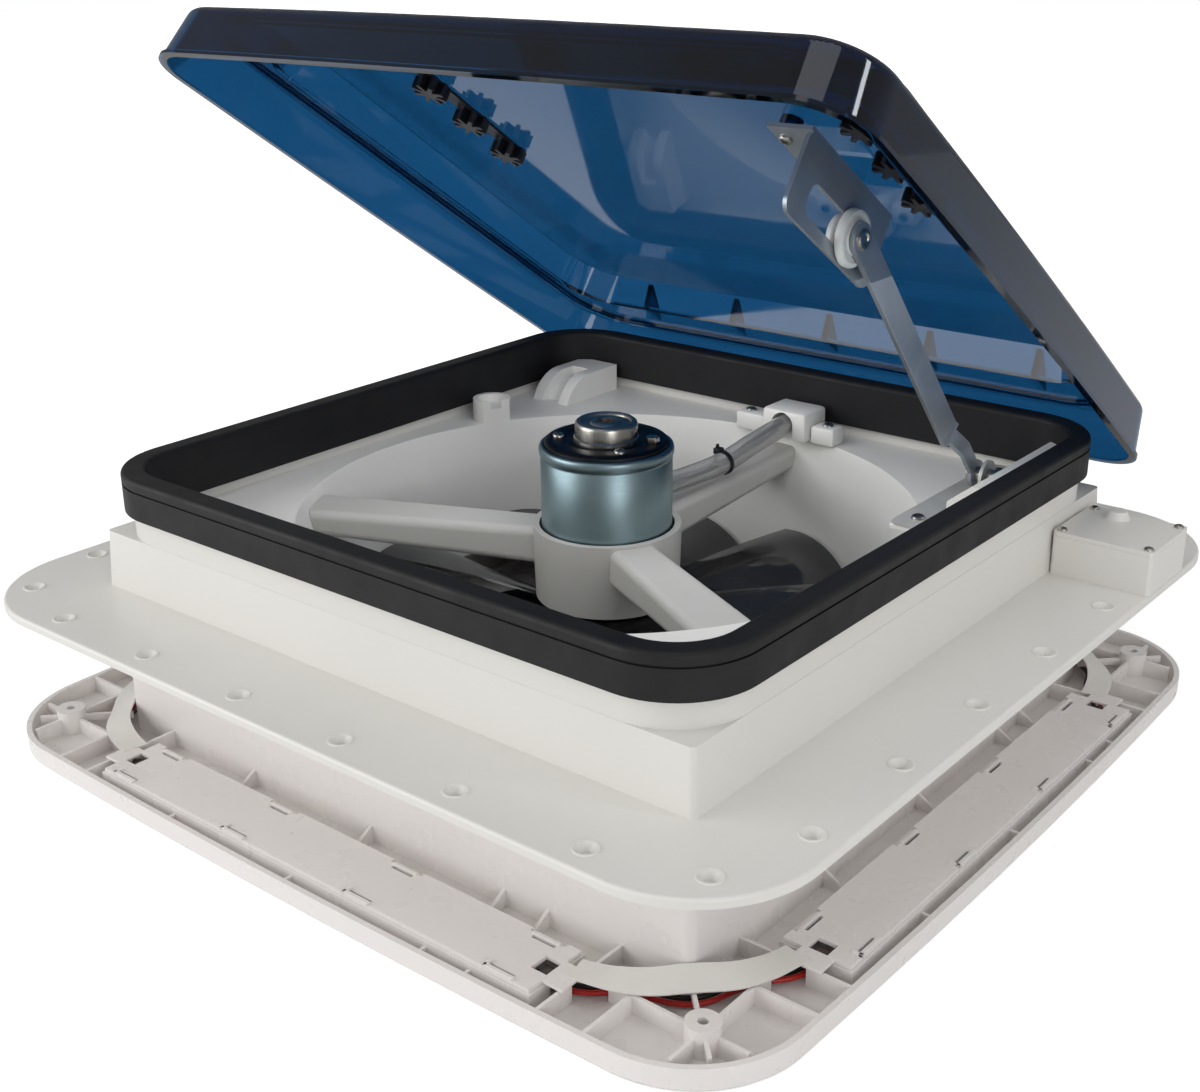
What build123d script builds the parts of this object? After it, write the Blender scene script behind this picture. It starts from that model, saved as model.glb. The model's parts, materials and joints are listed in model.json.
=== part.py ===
from build123d import *
import os
from math import acos, asin, atan2, cos, degrees, pi, radians, sin, sqrt, tan

os.makedirs("parts", exist_ok=True)

# Caravan roof vent with a powered lid and a fan.
# The origin is the centre of the roof opening, on the roof surface, +Z up.
# The lid hinges along +Y, the lift drive sits at +X, and the lid stands open.

# Shared clearances and cutting overrun
overrun = 1.0
seat_gap = 0.3
fit_gap = 0.05
rest_gap = 0.5

# Roof opening, flange and its screw holes
opening = 355.6
hole_pitch = 63.5
side_holes = 6
side_hole_inset = 12.7
corner_hole_inset = 25.4
hole_r = 2.2
hole_sink_r = 4.3
flange_half = 228.6
flange_t = 4.0
flange_r = 54.0
flange_edge_r = 1.5
side_hole_line = flange_half - side_hole_inset
corner_hole_line = flange_half - corner_hole_inset

# Collar: a square foot that carries a rounded wall
collar_half = opening / 2
collar_corner_r = 2.5
collar_lean = 1.6
shelf_h = 28.3
upper_inset = 0.2
upper_r = 34.0
collar_wall = 2.7
collar_h = 52.0
ledge_t = 3.7
ledge_w = 8.0
pocket_wall = 4.6
spigot_h = 20.0
spigot_wall = 2.5
spigot_r = 5.0

collar_top_half = collar_half - collar_lean
upper_half = collar_top_half - upper_inset
shelf_z = flange_t + shelf_h
collar_z = flange_t + collar_h
inner_half = upper_half - collar_wall
inner_r = upper_r - collar_wall
ledge_z = shelf_z - collar_wall - ledge_t
deck_seat_z = ledge_z + ledge_t

# Lid hinge line, its lugs and pins
hinge_y = 187.5
hinge_z = 31.0
hinge_x = 110.0
pin_r = 2.5
pin_head_r = 4.0
pin_head_t = 1.2
lug_r = 6.0
lug_t = 5.0
ear_t = 12.0
ear_gap = 0.35

# Fan axis and duct
fan_x = -6.5
deck_t = 2.8
mouth_r = 154.5
throat_top_r = 148.0
throat_top_drop = 25.0
throat_end_r = 146.5
throat_depth = 76.0
throat_wall = 2.2
deck_z = deck_seat_z + deck_t
throat_top_z = deck_z - throat_top_drop
throat_end_z = deck_z - throat_depth
fan_side = Plane(origin=(fan_x, 0, 0), x_dir=(1, 0, 0), z_dir=(0, -1, 0))
fan_axis = Axis((fan_x, 0, 0), (0, 0, 1))

# Rubber gasket over the wall of the collar
gasket_skin = 4.0
gasket_inner = 5.0
gasket_drop_out = 10.8
gasket_drop_in = 17.0
gasket_rise = 9.0
gasket_edge_r = 2.4
bead_drop = 5.2
bead_w = 1.0
gasket_half = upper_half + gasket_skin
gasket_top_z = collar_z + gasket_rise

# Lid: opening angle, skirt, ledge and raised panel, given for the closed lid
lid_open = 34.0
lid_half = 194.0
lid_bow = 2.5
lid_corner_r = 28.0
lid_t = 3.0
lid_lean = 3.2
skirt_z = 42.6
skirt_h = 27.6
lid_edge_r = 5.0
bead_out = 1.0
bead_h = 1.8
panel_half = 172.0
panel_lean = 4.0
panel_h = 17.0
panel_front = -147.5
panel_back = 152.0
panel_r = 30.0
panel_edge_r = 3.0
seat_rib_w = 1.4
seat_rib_pitch = 4.4
lid_front = -190.0
lid_back = 194.0

ledge_top_z = skirt_z + skirt_h
ledge_under_z = ledge_top_z - lid_t
panel_z = ledge_top_z + panel_h
panel_under_z = panel_z - lid_t

# Lift drive: arm pivot, arm, roller and slotted bracket
pivot_y = 122.4
pivot_z = 45.0
arm_len = 177.5
arm_closed = 2.75
arm_x = 126.0
arm_t = 2.5
arm_w = 14.5
arm_joggle = 5.5
neck_w = 8.0
neck_start = 20.0
neck_end = 32.0
foot_r = 7.0
roller_r = 12.8
roller_groove_r = 6.5
roller_back_r = 9.5
roller_gap = 0.4
flange_thick = 4.4
back_thick = 3.2
web_t = 2.0
groove_side = 0.5
roller_pin_r = 3.0
roller_pin_head_r = 4.6
roller_pin_head_t = 1.5
slot_z = pivot_z + arm_len * sin(radians(arm_closed))

# Gear drive of the lift
gear_module = 1.0
pinion_teeth = 12
sector_teeth = 56
gear_t = 4.0
gear_x = 153.5
pinion_t = 6.0
motor_side = 18.0
shaft_r = 3.5
shaft_end_x = 166.0
centre_distance = gear_module * (pinion_teeth + sector_teeth) / 2
drive_y = pivot_y + motor_side
drive_z = pivot_z - sqrt(centre_distance ** 2 - motor_side ** 2)


# Frames of the open lid and of the raised arm, which ends on the line of the slot
open_sin = sin(radians(lid_open))
open_cos = cos(radians(lid_open))
pivot_lift = (pivot_y - hinge_y) * open_sin + (pivot_z - hinge_z) * open_cos
arm_open = lid_open + degrees(asin((slot_z - hinge_z - pivot_lift) / arm_len))
lid_frame = Plane(
    origin=(
        0,
        hinge_y - hinge_y * open_cos - hinge_z * open_sin,
        hinge_z + hinge_y * open_sin - hinge_z * open_cos,
    ),
    x_dir=(1, 0, 0),
    z_dir=(0, open_sin, open_cos),
)


def lid_side(x):
    """Plane across the lid at x, with the closed lid's Y and Z as its own x and y."""
    return Plane(
        origin=lid_frame.from_local_coords((x, 0, 0)),
        x_dir=lid_frame.y_dir,
        z_dir=(1, 0, 0),
    )


arm_sin = sin(radians(arm_open))
arm_cos = cos(radians(arm_open))
roller_y = pivot_y - arm_len * arm_cos
roller_z = pivot_z + arm_len * arm_sin


def arm_side(x):
    """Plane across X at x, at the arm's pivot, with its x along the arm."""
    return Plane(origin=(x, pivot_y, pivot_z), x_dir=(0, -arm_cos, arm_sin), z_dir=(1, 0, 0))


def bowed_outline(half_x, low_y, high_y, bow, corner_r):
    """Four-sided outline with bulging sides and rounded corners."""
    end_x = half_x - bow
    low_end = low_y + bow
    high_end = high_y - bow
    middle_y = (low_y + high_y) / 2
    corners = [(-end_x, low_end), (end_x, low_end), (end_x, high_end), (-end_x, high_end)]
    middles = [(0, low_y), (half_x, middle_y), (0, high_y), (-half_x, middle_y)]
    with BuildSketch() as outline:
        with BuildLine():
            for index, middle in enumerate(middles):
                ThreePointArc(corners[index], middle, corners[(index + 1) % len(corners)])
        make_face()
        fillet(outline.vertices(), corner_r)
    return outline.sketch


# Roof flange with its collar, hinge lugs and spigot
side_lines = [(hole_pitch * (index - (side_holes - 1) / 2)) for index in range(side_holes)]
hole_places = [(along, side * side_hole_line) for along in side_lines for side in (-1, 1)]
hole_places += [(-side_hole_line, along) for along in side_lines]
hole_places += [(side_hole_line, along) for along in side_lines[:-1]]
spigot_half = collar_half - pocket_wall - spigot_wall
pocket_half = collar_half - pocket_wall
motor_nose_r = 7.0
lug_root_y = upper_half - collar_wall / 2

with BuildPart() as roof_flange:
    with BuildSketch():
        RectangleRounded(2 * flange_half, 2 * flange_half, flange_r)
    extrude(amount=flange_t)
    fillet(roof_flange.faces().sort_by(Axis.Z)[-1].edges(), flange_edge_r)
    with BuildSketch(Plane.XY.offset(flange_t)):
        RectangleRounded(2 * collar_half, 2 * collar_half, collar_corner_r)
    with BuildSketch(Plane.XY.offset(shelf_z)):
        RectangleRounded(2 * collar_top_half, 2 * collar_top_half, collar_corner_r)
    loft()
    with BuildSketch(Plane.XY.offset(shelf_z)):
        RectangleRounded(2 * upper_half, 2 * upper_half, upper_r)
    extrude(amount=collar_z - shelf_z)
    for centre in (-hinge_x, hinge_x):
        for side in (-1, 1):
            with BuildSketch(Plane.YZ.offset(centre + side * (ear_t + lug_t + 2 * ear_gap) / 2)):
                with Locations(((lug_root_y + hinge_y) / 2, hinge_z)):
                    Rectangle(hinge_y - lug_root_y, 2 * lug_r)
                with Locations((hinge_y, hinge_z)):
                    Circle(lug_r)
                    Circle(pin_r + fit_gap, mode=Mode.SUBTRACT)
            extrude(amount=lug_t / 2, both=True)
    with BuildSketch():
        RectangleRounded(2 * spigot_half, 2 * spigot_half, spigot_r)
    extrude(amount=-spigot_h)
    with BuildSketch(Plane.XY.offset(-spigot_h)):
        RectangleRounded(
            2 * (spigot_half - spigot_wall), 2 * (spigot_half - spigot_wall), spigot_r - spigot_wall
        )
    extrude(amount=spigot_h + flange_t, mode=Mode.SUBTRACT)
    with BuildSketch(Plane.XY.offset(flange_t)):
        RectangleRounded(2 * pocket_half, 2 * pocket_half, collar_corner_r)
    extrude(amount=ledge_z - flange_t, mode=Mode.SUBTRACT)
    with BuildSketch(Plane.XY.offset(ledge_z)):
        RectangleRounded(2 * (inner_half - ledge_w), 2 * (inner_half - ledge_w), inner_r - ledge_w)
    extrude(amount=ledge_t, mode=Mode.SUBTRACT)
    with BuildSketch(Plane.XY.offset(deck_seat_z)):
        RectangleRounded(2 * inner_half, 2 * inner_half, inner_r)
    extrude(amount=collar_z - deck_seat_z, mode=Mode.SUBTRACT)
    with BuildSketch(Plane.YZ.offset(pocket_half - overrun)):
        with Locations((drive_y, drive_z)):
            Circle(motor_nose_r)
    extrude(amount=pocket_wall + 2 * overrun, mode=Mode.SUBTRACT)
    with Locations(Plane.XY.offset(flange_t)):
        with Locations(*hole_places):
            CounterSinkHole(hole_r, hole_sink_r)
        with GridLocations(2 * corner_hole_line, 2 * corner_hole_line, 2, 2):
            CounterSinkHole(hole_r, hole_sink_r)
roof_flange.part.label = "roof_flange"
export_step(roof_flange.part, "parts/roof_flange.step")

# Rubber gasket, a channel pressed over the collar's rounded wall
wall_gap_half = upper_half + seat_gap
with BuildPart() as gasket:
    with BuildSketch(Plane.XY.offset(collar_z - gasket_drop_in)):
        RectangleRounded(2 * gasket_half, 2 * gasket_half, upper_r + gasket_skin)
        RectangleRounded(
            2 * (inner_half - gasket_inner),
            2 * (inner_half - gasket_inner),
            inner_r - gasket_inner,
            mode=Mode.SUBTRACT,
        )
    extrude(amount=gasket_drop_in + gasket_rise)
    fillet(gasket.faces().sort_by(Axis.Z)[-1].edges(), gasket_edge_r)
    with BuildSketch(Plane.XY.offset(collar_z - gasket_drop_in)):
        RectangleRounded(2 * wall_gap_half, 2 * wall_gap_half, upper_r + seat_gap)
        RectangleRounded(
            2 * (inner_half - seat_gap), 2 * (inner_half - seat_gap), inner_r - seat_gap, mode=Mode.SUBTRACT
        )
    extrude(amount=gasket_drop_in + seat_gap, mode=Mode.SUBTRACT)
    with BuildSketch(Plane.XY.offset(collar_z - gasket_drop_in)):
        RectangleRounded(
            2 * (gasket_half + overrun), 2 * (gasket_half + overrun), upper_r + gasket_skin + overrun
        )
        RectangleRounded(2 * upper_half, 2 * upper_half, upper_r, mode=Mode.SUBTRACT)
    extrude(amount=gasket_drop_in - gasket_drop_out, mode=Mode.SUBTRACT)
    with BuildSketch(Plane.XY.offset(gasket_top_z - bead_drop - bead_w)):
        RectangleRounded(
            2 * (gasket_half + overrun), 2 * (gasket_half + overrun), upper_r + gasket_skin + overrun
        )
        RectangleRounded(
            2 * (gasket_half - bead_w), 2 * (gasket_half - bead_w), upper_r + gasket_skin - bead_w,
            mode=Mode.SUBTRACT,
        )
    extrude(amount=bead_w, mode=Mode.SUBTRACT)
gasket.part.label = "gasket"
export_step(gasket.part, "parts/gasket.step")

# Fan shroud: deck with its mouth and cone, posts and pads
deck_half = inner_half - seat_gap
deck_r = inner_r - seat_gap
post_x = -151.5
post_y = 72.0
post_r = 11.0
post_h = 13.0
post_well_r = 8.0
post_well = 5.0
hump_x = -146.5
hump_w = 27.0
hump_front = 118.0
hump_back = 166.0
hump_crest = 142.0
hump_h = 15.6
hump_groove_w = 12.0
hump_groove = 5.0
plate_x = 121.0
plate_w = 19.0
plate_t = 1.8
plate_front = 58.0
plate_back = 166.0
pad_h = 2.0
pad_len = 24.0
bearing_x = 159.2
bearing_t = 6.6
bearing_w = 15.0
bearing_rise = 7.0
gear_slot_t = 9.0
gear_slot_front = 103.0
gear_slot_back = 157.0
rim_clear_half = 167.9
rim_clear_r = 25.9
pad_z = deck_z + pad_h

with BuildPart() as hump_form:
    with BuildSketch(Plane.YZ.offset(hump_x - hump_w / 2)):
        with BuildLine():
            RadiusArc((hump_front, deck_z), (hump_crest, deck_z + hump_h), hump_crest - hump_front)
            Line((hump_crest, deck_z + hump_h), (hump_back, deck_z + hump_h))
            Line((hump_back, deck_z + hump_h), (hump_back, deck_z))
            Line((hump_back, deck_z), (hump_front, deck_z))
        make_face()
    extrude(amount=hump_w)
    with BuildSketch(Plane.YZ.offset(hump_x - hump_groove_w / 2)):
        with BuildLine():
            RadiusArc(
                (hump_front + hump_groove, deck_z),
                (hump_crest + hump_groove, deck_z + hump_h - hump_groove),
                hump_crest - hump_front,
            )
            Line(
                (hump_crest + hump_groove, deck_z + hump_h - hump_groove),
                (hump_crest + hump_groove, deck_z + hump_h + overrun),
            )
            Line(
                (hump_crest + hump_groove, deck_z + hump_h + overrun),
                (hump_front - overrun, deck_z + hump_h + overrun),
            )
            Line((hump_front - overrun, deck_z + hump_h + overrun), (hump_front - overrun, deck_z))
            Line((hump_front - overrun, deck_z), (hump_front + hump_groove, deck_z))
        make_face()
    extrude(amount=hump_groove_w, mode=Mode.SUBTRACT)
    with BuildSketch(Plane.XY.offset(deck_z)):
        RectangleRounded(2 * rim_clear_half, 2 * rim_clear_half, rim_clear_r)
    extrude(amount=hump_h, mode=Mode.INTERSECT)

with BuildPart() as shroud:
    with BuildSketch(Plane.XY.offset(deck_seat_z)):
        RectangleRounded(2 * deck_half, 2 * deck_half, deck_r)
        with Locations((fan_x, 0)):
            Circle(mouth_r, mode=Mode.SUBTRACT)
    extrude(amount=deck_t)
    with BuildSketch(fan_side):
        with BuildLine():
            Polyline(
                (mouth_r, deck_z),
                (throat_top_r, throat_top_z),
                (throat_end_r, throat_end_z),
                (throat_end_r + throat_wall, throat_end_z),
                (throat_top_r + throat_wall, throat_top_z),
                (mouth_r + throat_wall, deck_z),
                close=True,
            )
        make_face()
    revolve(axis=fan_axis)
    with BuildSketch(Plane.XY.offset(deck_z)):
        with Locations((post_x, post_y)):
            Circle(post_r)
        with Locations((fan_x, 0)):
            Circle(mouth_r, mode=Mode.SUBTRACT)
    extrude(amount=post_h)
    with BuildSketch(Plane.XY.offset(deck_z + post_h - post_well)):
        with Locations((post_x, post_y)):
            Circle(post_well_r)
    extrude(amount=post_well, mode=Mode.SUBTRACT)
    add(hump_form.part)
    with BuildSketch(Plane.XY.offset(deck_z)):
        for middle in (plate_front + pad_len / 2, plate_back - pad_len / 2):
            with Locations((plate_x + plate_w / 2, middle)):
                Rectangle(plate_w, pad_len)
    extrude(amount=pad_h)
    with BuildSketch(Plane.YZ.offset(bearing_x)):
        with Locations((pivot_y, (deck_z + pivot_z + bearing_rise) / 2)):
            Rectangle(bearing_w, pivot_z + bearing_rise - deck_z)
        with Locations((pivot_y, pivot_z)):
            Circle(shaft_r + fit_gap, mode=Mode.SUBTRACT)
    extrude(amount=bearing_t)
    with BuildSketch(Plane.XY.offset(deck_seat_z)):
        with Locations((gear_x + gear_t / 2, (gear_slot_front + gear_slot_back) / 2)):
            Rectangle(gear_slot_t, gear_slot_back - gear_slot_front)
    extrude(amount=deck_t, mode=Mode.SUBTRACT)
shroud.part.label = "shroud"
export_step(shroud.part, "parts/shroud.step")

# Motor spider: a cup for the motor on three spokes that reach the throat
can_r = 33.0
can_h = 76.0
can_top_z = 65.4
cup_gap = 1.2
cup_top_r = 37.5
cup_end_r = 36.6
cup_top_z = 23.5
cup_floor = 4.0
cup_rim_h = 8.0
spoke_count = 3
spoke_start = 90.0
spoke_root_w = 24.0
spoke_end_w = 30.0
spoke_root_h = 20.0
spoke_end_h = 13.0
spoke_root_z = 22.0
spoke_end_z = 26.5
spoke_root_at = 30.0
spoke_edge_r = 4.5
spoke_wall = 2.6
boss_hole_r = 6.0
cup_floor_z = can_top_z - can_h
cup_end_z = cup_floor_z - cup_floor


def spoke_plane(distance, turn):
    """Plane across a spoke, at a distance from the fan axis."""
    return Plane(
        origin=(fan_x + distance * cos(radians(turn)), distance * sin(radians(turn)), 0),
        x_dir=(-sin(radians(turn)), cos(radians(turn)), 0),
        z_dir=(cos(radians(turn)), sin(radians(turn)), 0),
    )


spoke_turns = [spoke_start + index * 360 / spoke_count for index in range(spoke_count)]
spoke_reach = mouth_r + throat_wall
with BuildPart() as motor_spider:
    for turn in spoke_turns:
        with BuildSketch(spoke_plane(spoke_root_at, turn)):
            with Locations((0, spoke_root_z - spoke_root_h / 2)):
                RectangleRounded(spoke_root_w, spoke_root_h, spoke_edge_r)
        with BuildSketch(spoke_plane(spoke_reach, turn)):
            with Locations((0, spoke_end_z - spoke_end_h / 2)):
                RectangleRounded(spoke_end_w, spoke_end_h, spoke_edge_r)
        loft()
        with BuildSketch(spoke_plane(cup_top_r, turn)):
            with Locations((0, spoke_root_z - spoke_wall - spoke_root_h / 2)):
                Rectangle(spoke_root_w - 2 * spoke_wall, spoke_root_h)
        with BuildSketch(spoke_plane(throat_end_r - spoke_wall, turn)):
            with Locations((0, spoke_end_z - spoke_wall - spoke_end_h / 2)):
                Rectangle(spoke_end_w - 2 * spoke_wall, spoke_end_h)
        loft(mode=Mode.SUBTRACT)
    with BuildSketch(fan_side):
        with BuildLine():
            Polyline(
                (0, cup_end_z),
                (cup_end_r, cup_end_z),
                (cup_top_r, cup_top_z - cup_rim_h),
                (cup_top_r, cup_top_z),
                (0, cup_top_z),
                close=True,
            )
        make_face()
    revolve(axis=fan_axis)
    with BuildSketch(fan_side):
        with BuildLine():
            Polyline(
                (throat_end_r - seat_gap, throat_end_z),
                (throat_top_r - seat_gap, throat_top_z),
                (mouth_r - seat_gap, deck_z),
                (spoke_reach + spoke_end_w, deck_z),
                (spoke_reach + spoke_end_w, throat_end_z),
                close=True,
            )
        make_face()
    revolve(axis=fan_axis, mode=Mode.SUBTRACT)
    with BuildSketch(Plane.XY.offset(cup_floor_z)):
        with Locations((fan_x, 0)):
            Circle(can_r + cup_gap)
    extrude(amount=can_h, mode=Mode.SUBTRACT)
    with BuildSketch(Plane.XY.offset(cup_end_z)):
        with Locations((fan_x, 0)):
            Circle(boss_hole_r)
    extrude(amount=cup_floor, mode=Mode.SUBTRACT)
motor_spider.part.label = "motor_spider"
export_step(motor_spider.part, "parts/motor_spider.step")

# Motor: can, end plate, bearing cap, screws, and the shaft with its fan
end_plate_t = 2.0
end_plate_lip = 0.8
cap_r = 16.3
cap_h = 9.6
cap_rim_w = 3.0
cap_well = 1.4
cap_hole_r = 4.2
can_edge_r = 2.0
motor_screw_at = 24.0
motor_screw_r = 3.0
motor_screw_h = 1.8
motor_screw_turn = 115.0
motor_nut_r = 3.6
nut_sides = 6
motor_nut_h = 3.2
motor_nut_turn = 20.0
fan_shaft_r = 4.0
fan_shaft_drop = 36.0
fan_shaft_in = 12.0
can_bore_r = 5.0
end_plate_z = can_top_z
cap_z = end_plate_z + end_plate_t
with BuildPart() as motor_can:
    with BuildSketch(Plane.XY.offset(cup_floor_z)):
        with Locations((fan_x, 0)):
            Circle(can_r)
    extrude(amount=can_h)
    fillet(motor_can.faces().sort_by(Axis.Z)[0].edges(), can_edge_r)
    with BuildSketch(Plane.XY.offset(cup_floor_z)):
        with Locations((fan_x, 0)):
            Circle(can_bore_r)
    extrude(amount=fan_shaft_in + overrun, mode=Mode.SUBTRACT)
motor_can.part.label = "motor_can"
export_step(motor_can.part, "parts/motor_can.step")

with BuildPart() as motor_end_plate:
    with BuildSketch(Plane.XY.offset(end_plate_z)):
        with Locations((fan_x, 0)):
            Circle(can_r + end_plate_lip)
    extrude(amount=end_plate_t)
    chamfer(motor_end_plate.faces().sort_by(Axis.Z)[-1].edges(), end_plate_lip)
motor_end_plate.part.label = "motor_end_plate"
export_step(motor_end_plate.part, "parts/motor_end_plate.step")

with BuildPart() as motor_cap:
    with BuildSketch(Plane.XY.offset(cap_z)):
        with Locations((fan_x, 0)):
            Circle(cap_r)
    extrude(amount=cap_h)
    with BuildSketch(Plane.XY.offset(cap_z + cap_h - cap_well)):
        with Locations((fan_x, 0)):
            Circle(cap_r - cap_rim_w)
            Circle(cap_hole_r + cap_rim_w, mode=Mode.SUBTRACT)
    extrude(amount=cap_well, mode=Mode.SUBTRACT)
    with BuildSketch(Plane.XY.offset(cap_z + cap_rim_w)):
        with Locations((fan_x, 0)):
            Circle(cap_hole_r)
    extrude(amount=cap_h, mode=Mode.SUBTRACT)
motor_cap.part.label = "motor_cap"
export_step(motor_cap.part, "parts/motor_cap.step")

with BuildPart() as motor_screws:
    for turn in (spoke_turns[1] + motor_screw_turn, spoke_turns[1]):
        with BuildSketch(Plane.XY.offset(cap_z)):
            with Locations(
                (fan_x + motor_screw_at * cos(radians(turn)), motor_screw_at * sin(radians(turn)))
            ):
                Circle(motor_screw_r)
        extrude(amount=motor_screw_h)
    with BuildSketch(Plane.XY.offset(cap_z)):
        with Locations(
            (
                fan_x + motor_screw_at * cos(radians(motor_nut_turn)),
                motor_screw_at * sin(radians(motor_nut_turn)),
            )
        ):
            RegularPolygon(motor_nut_r, nut_sides)
    extrude(amount=motor_nut_h)
motor_screws.part.label = "motor_screws"
export_step(motor_screws.part, "parts/motor_screws.step")

fan_shaft_end = cup_floor_z - fan_shaft_drop
with BuildPart() as fan_shaft:
    with BuildSketch(Plane.XY.offset(fan_shaft_end)):
        with Locations((fan_x, 0)):
            Circle(fan_shaft_r)
    extrude(amount=fan_shaft_drop + fan_shaft_in)
fan_shaft.part.label = "fan_shaft"
export_step(fan_shaft.part, "parts/fan_shaft.step")

# Fan wheel: a hub under the cup and twisted blades that reach near the throat
hub_r = 34.0
hub_h = 24.0
hub_gap = 3.0
hub_wall = 2.5
hub_boss_r = 9.0
blade_count = 10
blade_tip_gap = 3.0
blade_t = 1.6
blade_root_chord = 26.0
blade_mid_chord = 46.0
blade_tip_chord = 62.0
blade_root_pitch = 38.0
blade_mid_pitch = 26.0
blade_tip_pitch = 17.0
blade_camber_share = 0.12
blade_sink = 1.2
nut_r = 7.5
nut_h = 5.0
hub_top_z = cup_end_z - hub_gap
hub_end_z = hub_top_z - hub_h
blade_z = (hub_top_z + hub_end_z) / 2
blade_tip_r = throat_end_r - blade_tip_gap


def blade_section(distance, chord, pitch):
    """Cambered section of a blade on a plane across its span."""
    plane = Plane(
        origin=(distance, 0, 0), x_dir=(0, cos(radians(pitch)), sin(radians(pitch))), z_dir=(1, 0, 0)
    )
    rise = chord * blade_camber_share
    with BuildSketch(plane) as section:
        with BuildLine():
            ThreePointArc((-chord / 2, 0), (0, rise), (chord / 2, 0))
            Line((chord / 2, 0), (chord / 2, -blade_t))
            ThreePointArc((chord / 2, -blade_t), (0, rise - blade_t), (-chord / 2, -blade_t))
            Line((-chord / 2, -blade_t), (-chord / 2, 0))
        make_face()
    return section.sketch


with BuildPart() as blade_form:
    add(blade_section(hub_r - blade_sink, blade_root_chord, blade_root_pitch))
    add(blade_section((hub_r + blade_tip_r) / 2, blade_mid_chord, blade_mid_pitch))
    add(blade_section(blade_tip_r, blade_tip_chord, blade_tip_pitch))
    loft()
with BuildPart() as fan_wheel:
    with BuildSketch(Plane.XY.offset(hub_end_z)):
        with Locations((fan_x, 0)):
            Circle(hub_r)
    extrude(amount=hub_h)
    with BuildSketch(Plane.XY.offset(hub_end_z)):
        with Locations((fan_x, 0)):
            Circle(hub_r - hub_wall)
            Circle(hub_boss_r, mode=Mode.SUBTRACT)
    extrude(amount=hub_h - hub_wall, mode=Mode.SUBTRACT)
    with Locations((fan_x, 0, blade_z)):
        with PolarLocations(0, blade_count):
            add(blade_form.part)
    with BuildSketch(Plane.XY.offset(fan_shaft_end)):
        with Locations((fan_x, 0)):
            Circle(blade_tip_r)
    extrude(amount=can_h, mode=Mode.INTERSECT)
    with BuildSketch(Plane.XY.offset(hub_end_z)):
        with Locations((fan_x, 0)):
            Circle(hub_r - hub_wall)
            Circle(hub_boss_r, mode=Mode.SUBTRACT)
    extrude(amount=hub_h - hub_wall, mode=Mode.SUBTRACT)
    with BuildSketch(Plane.XY.offset(hub_end_z)):
        with Locations((fan_x, 0)):
            Circle(fan_shaft_r + fit_gap)
    extrude(amount=hub_h, mode=Mode.SUBTRACT)
fan_wheel.part.label = "fan_wheel"
export_step(fan_wheel.part, "parts/fan_wheel.step")

with BuildPart() as fan_nut:
    with BuildSketch(Plane.XY.offset(hub_end_z - nut_h)):
        with Locations((fan_x, 0)):
            RegularPolygon(nut_r, nut_sides)
            Circle(fan_shaft_r + fit_gap, mode=Mode.SUBTRACT)
    extrude(amount=nut_h)
fan_nut.part.label = "fan_nut"
export_step(fan_nut.part, "parts/fan_nut.step")

# Motor cable in its sleeve along a spoke, its tie, and the arch that takes it
cable_r = 4.5
cable_route = [
    (-6.5, 33.6, 31.4),
    (-4.5, 60.0, 30.9),
    (-1.0, 88.0, 32.3),
    (-1.5, 116.0, 37.6),
    (-3.0, 146.0, 39.4),
]
bend_share = 0.45
tie_y = 88.0
tie_z = 32.3
tie_w = 3.0
tie_gap = 0.9
tie_t = 1.2
tie_head = 5.0
tie_foot = 0.2
tie_cut_w = 20.0
arch_x = 3.0
arch_w = 38.0
arch_front = 137.0
arch_back = 166.5
arch_h = 22.0
arch_edge_r = 4.0
arch_wall = 3.0
tunnel_x = -3.0
tunnel_r = 6.4
ear_w = 13.0
ear_h = 10.0
arch_ear_back = 160.0
arch_ear_front = 144.0
arch_screw_r = 3.0
arch_screw_h = 1.8
screw_bite = 6.0
shank_share = 0.5


def bend_radii(route):
    """Radius at each inner point of a route, a share of the shorter run beside it."""
    points = [Vector(*point) for point in route]
    radii = []
    for before, here, after in zip(points, points[1:], points[2:]):
        turn = radians((here - before).get_angle(after - here))
        shorter = min((here - before).length, (after - here).length)
        radii.append(bend_share * shorter / tan(turn / 2))
    return radii


cable_radii = bend_radii(cable_route)
print("cable bend radii", [round(radius, 1) for radius in cable_radii])
with BuildPart() as motor_cable:
    with BuildLine() as cable_line:
        FilletPolyline(*cable_route, radius=cable_radii)
    with BuildSketch(Plane(origin=cable_line.line @ 0, z_dir=cable_line.line % 0)):
        Circle(cable_r)
    sweep(path=cable_line.line)
motor_cable.part.label = "motor_cable"
export_step(motor_cable.part, "parts/motor_cable.step")

tie_share = (tie_y - spoke_root_at) / (spoke_reach - spoke_root_at)
spoke_top_at_tie = spoke_root_z + tie_share * (spoke_end_z - spoke_root_z)
with BuildPart() as cable_tie:
    with BuildSketch(Plane.XZ.offset(-tie_y)):
        with Locations((cable_route[2][0], tie_z)):
            Circle(cable_r + tie_gap + tie_t)
        with Locations((cable_route[2][0] + cable_r, tie_z + cable_r)):
            Rectangle(tie_head, tie_head)
        with Locations((cable_route[2][0], tie_z)):
            Circle(cable_r + tie_gap, mode=Mode.SUBTRACT)
        with Locations((cable_route[2][0], spoke_top_at_tie + tie_foot - tie_head)):
            Rectangle(tie_cut_w, 2 * tie_head, mode=Mode.SUBTRACT)
    extrude(amount=tie_w / 2, both=True)
cable_tie.part.label = "cable_tie"
export_step(cable_tie.part, "parts/cable_tie.step")

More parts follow.
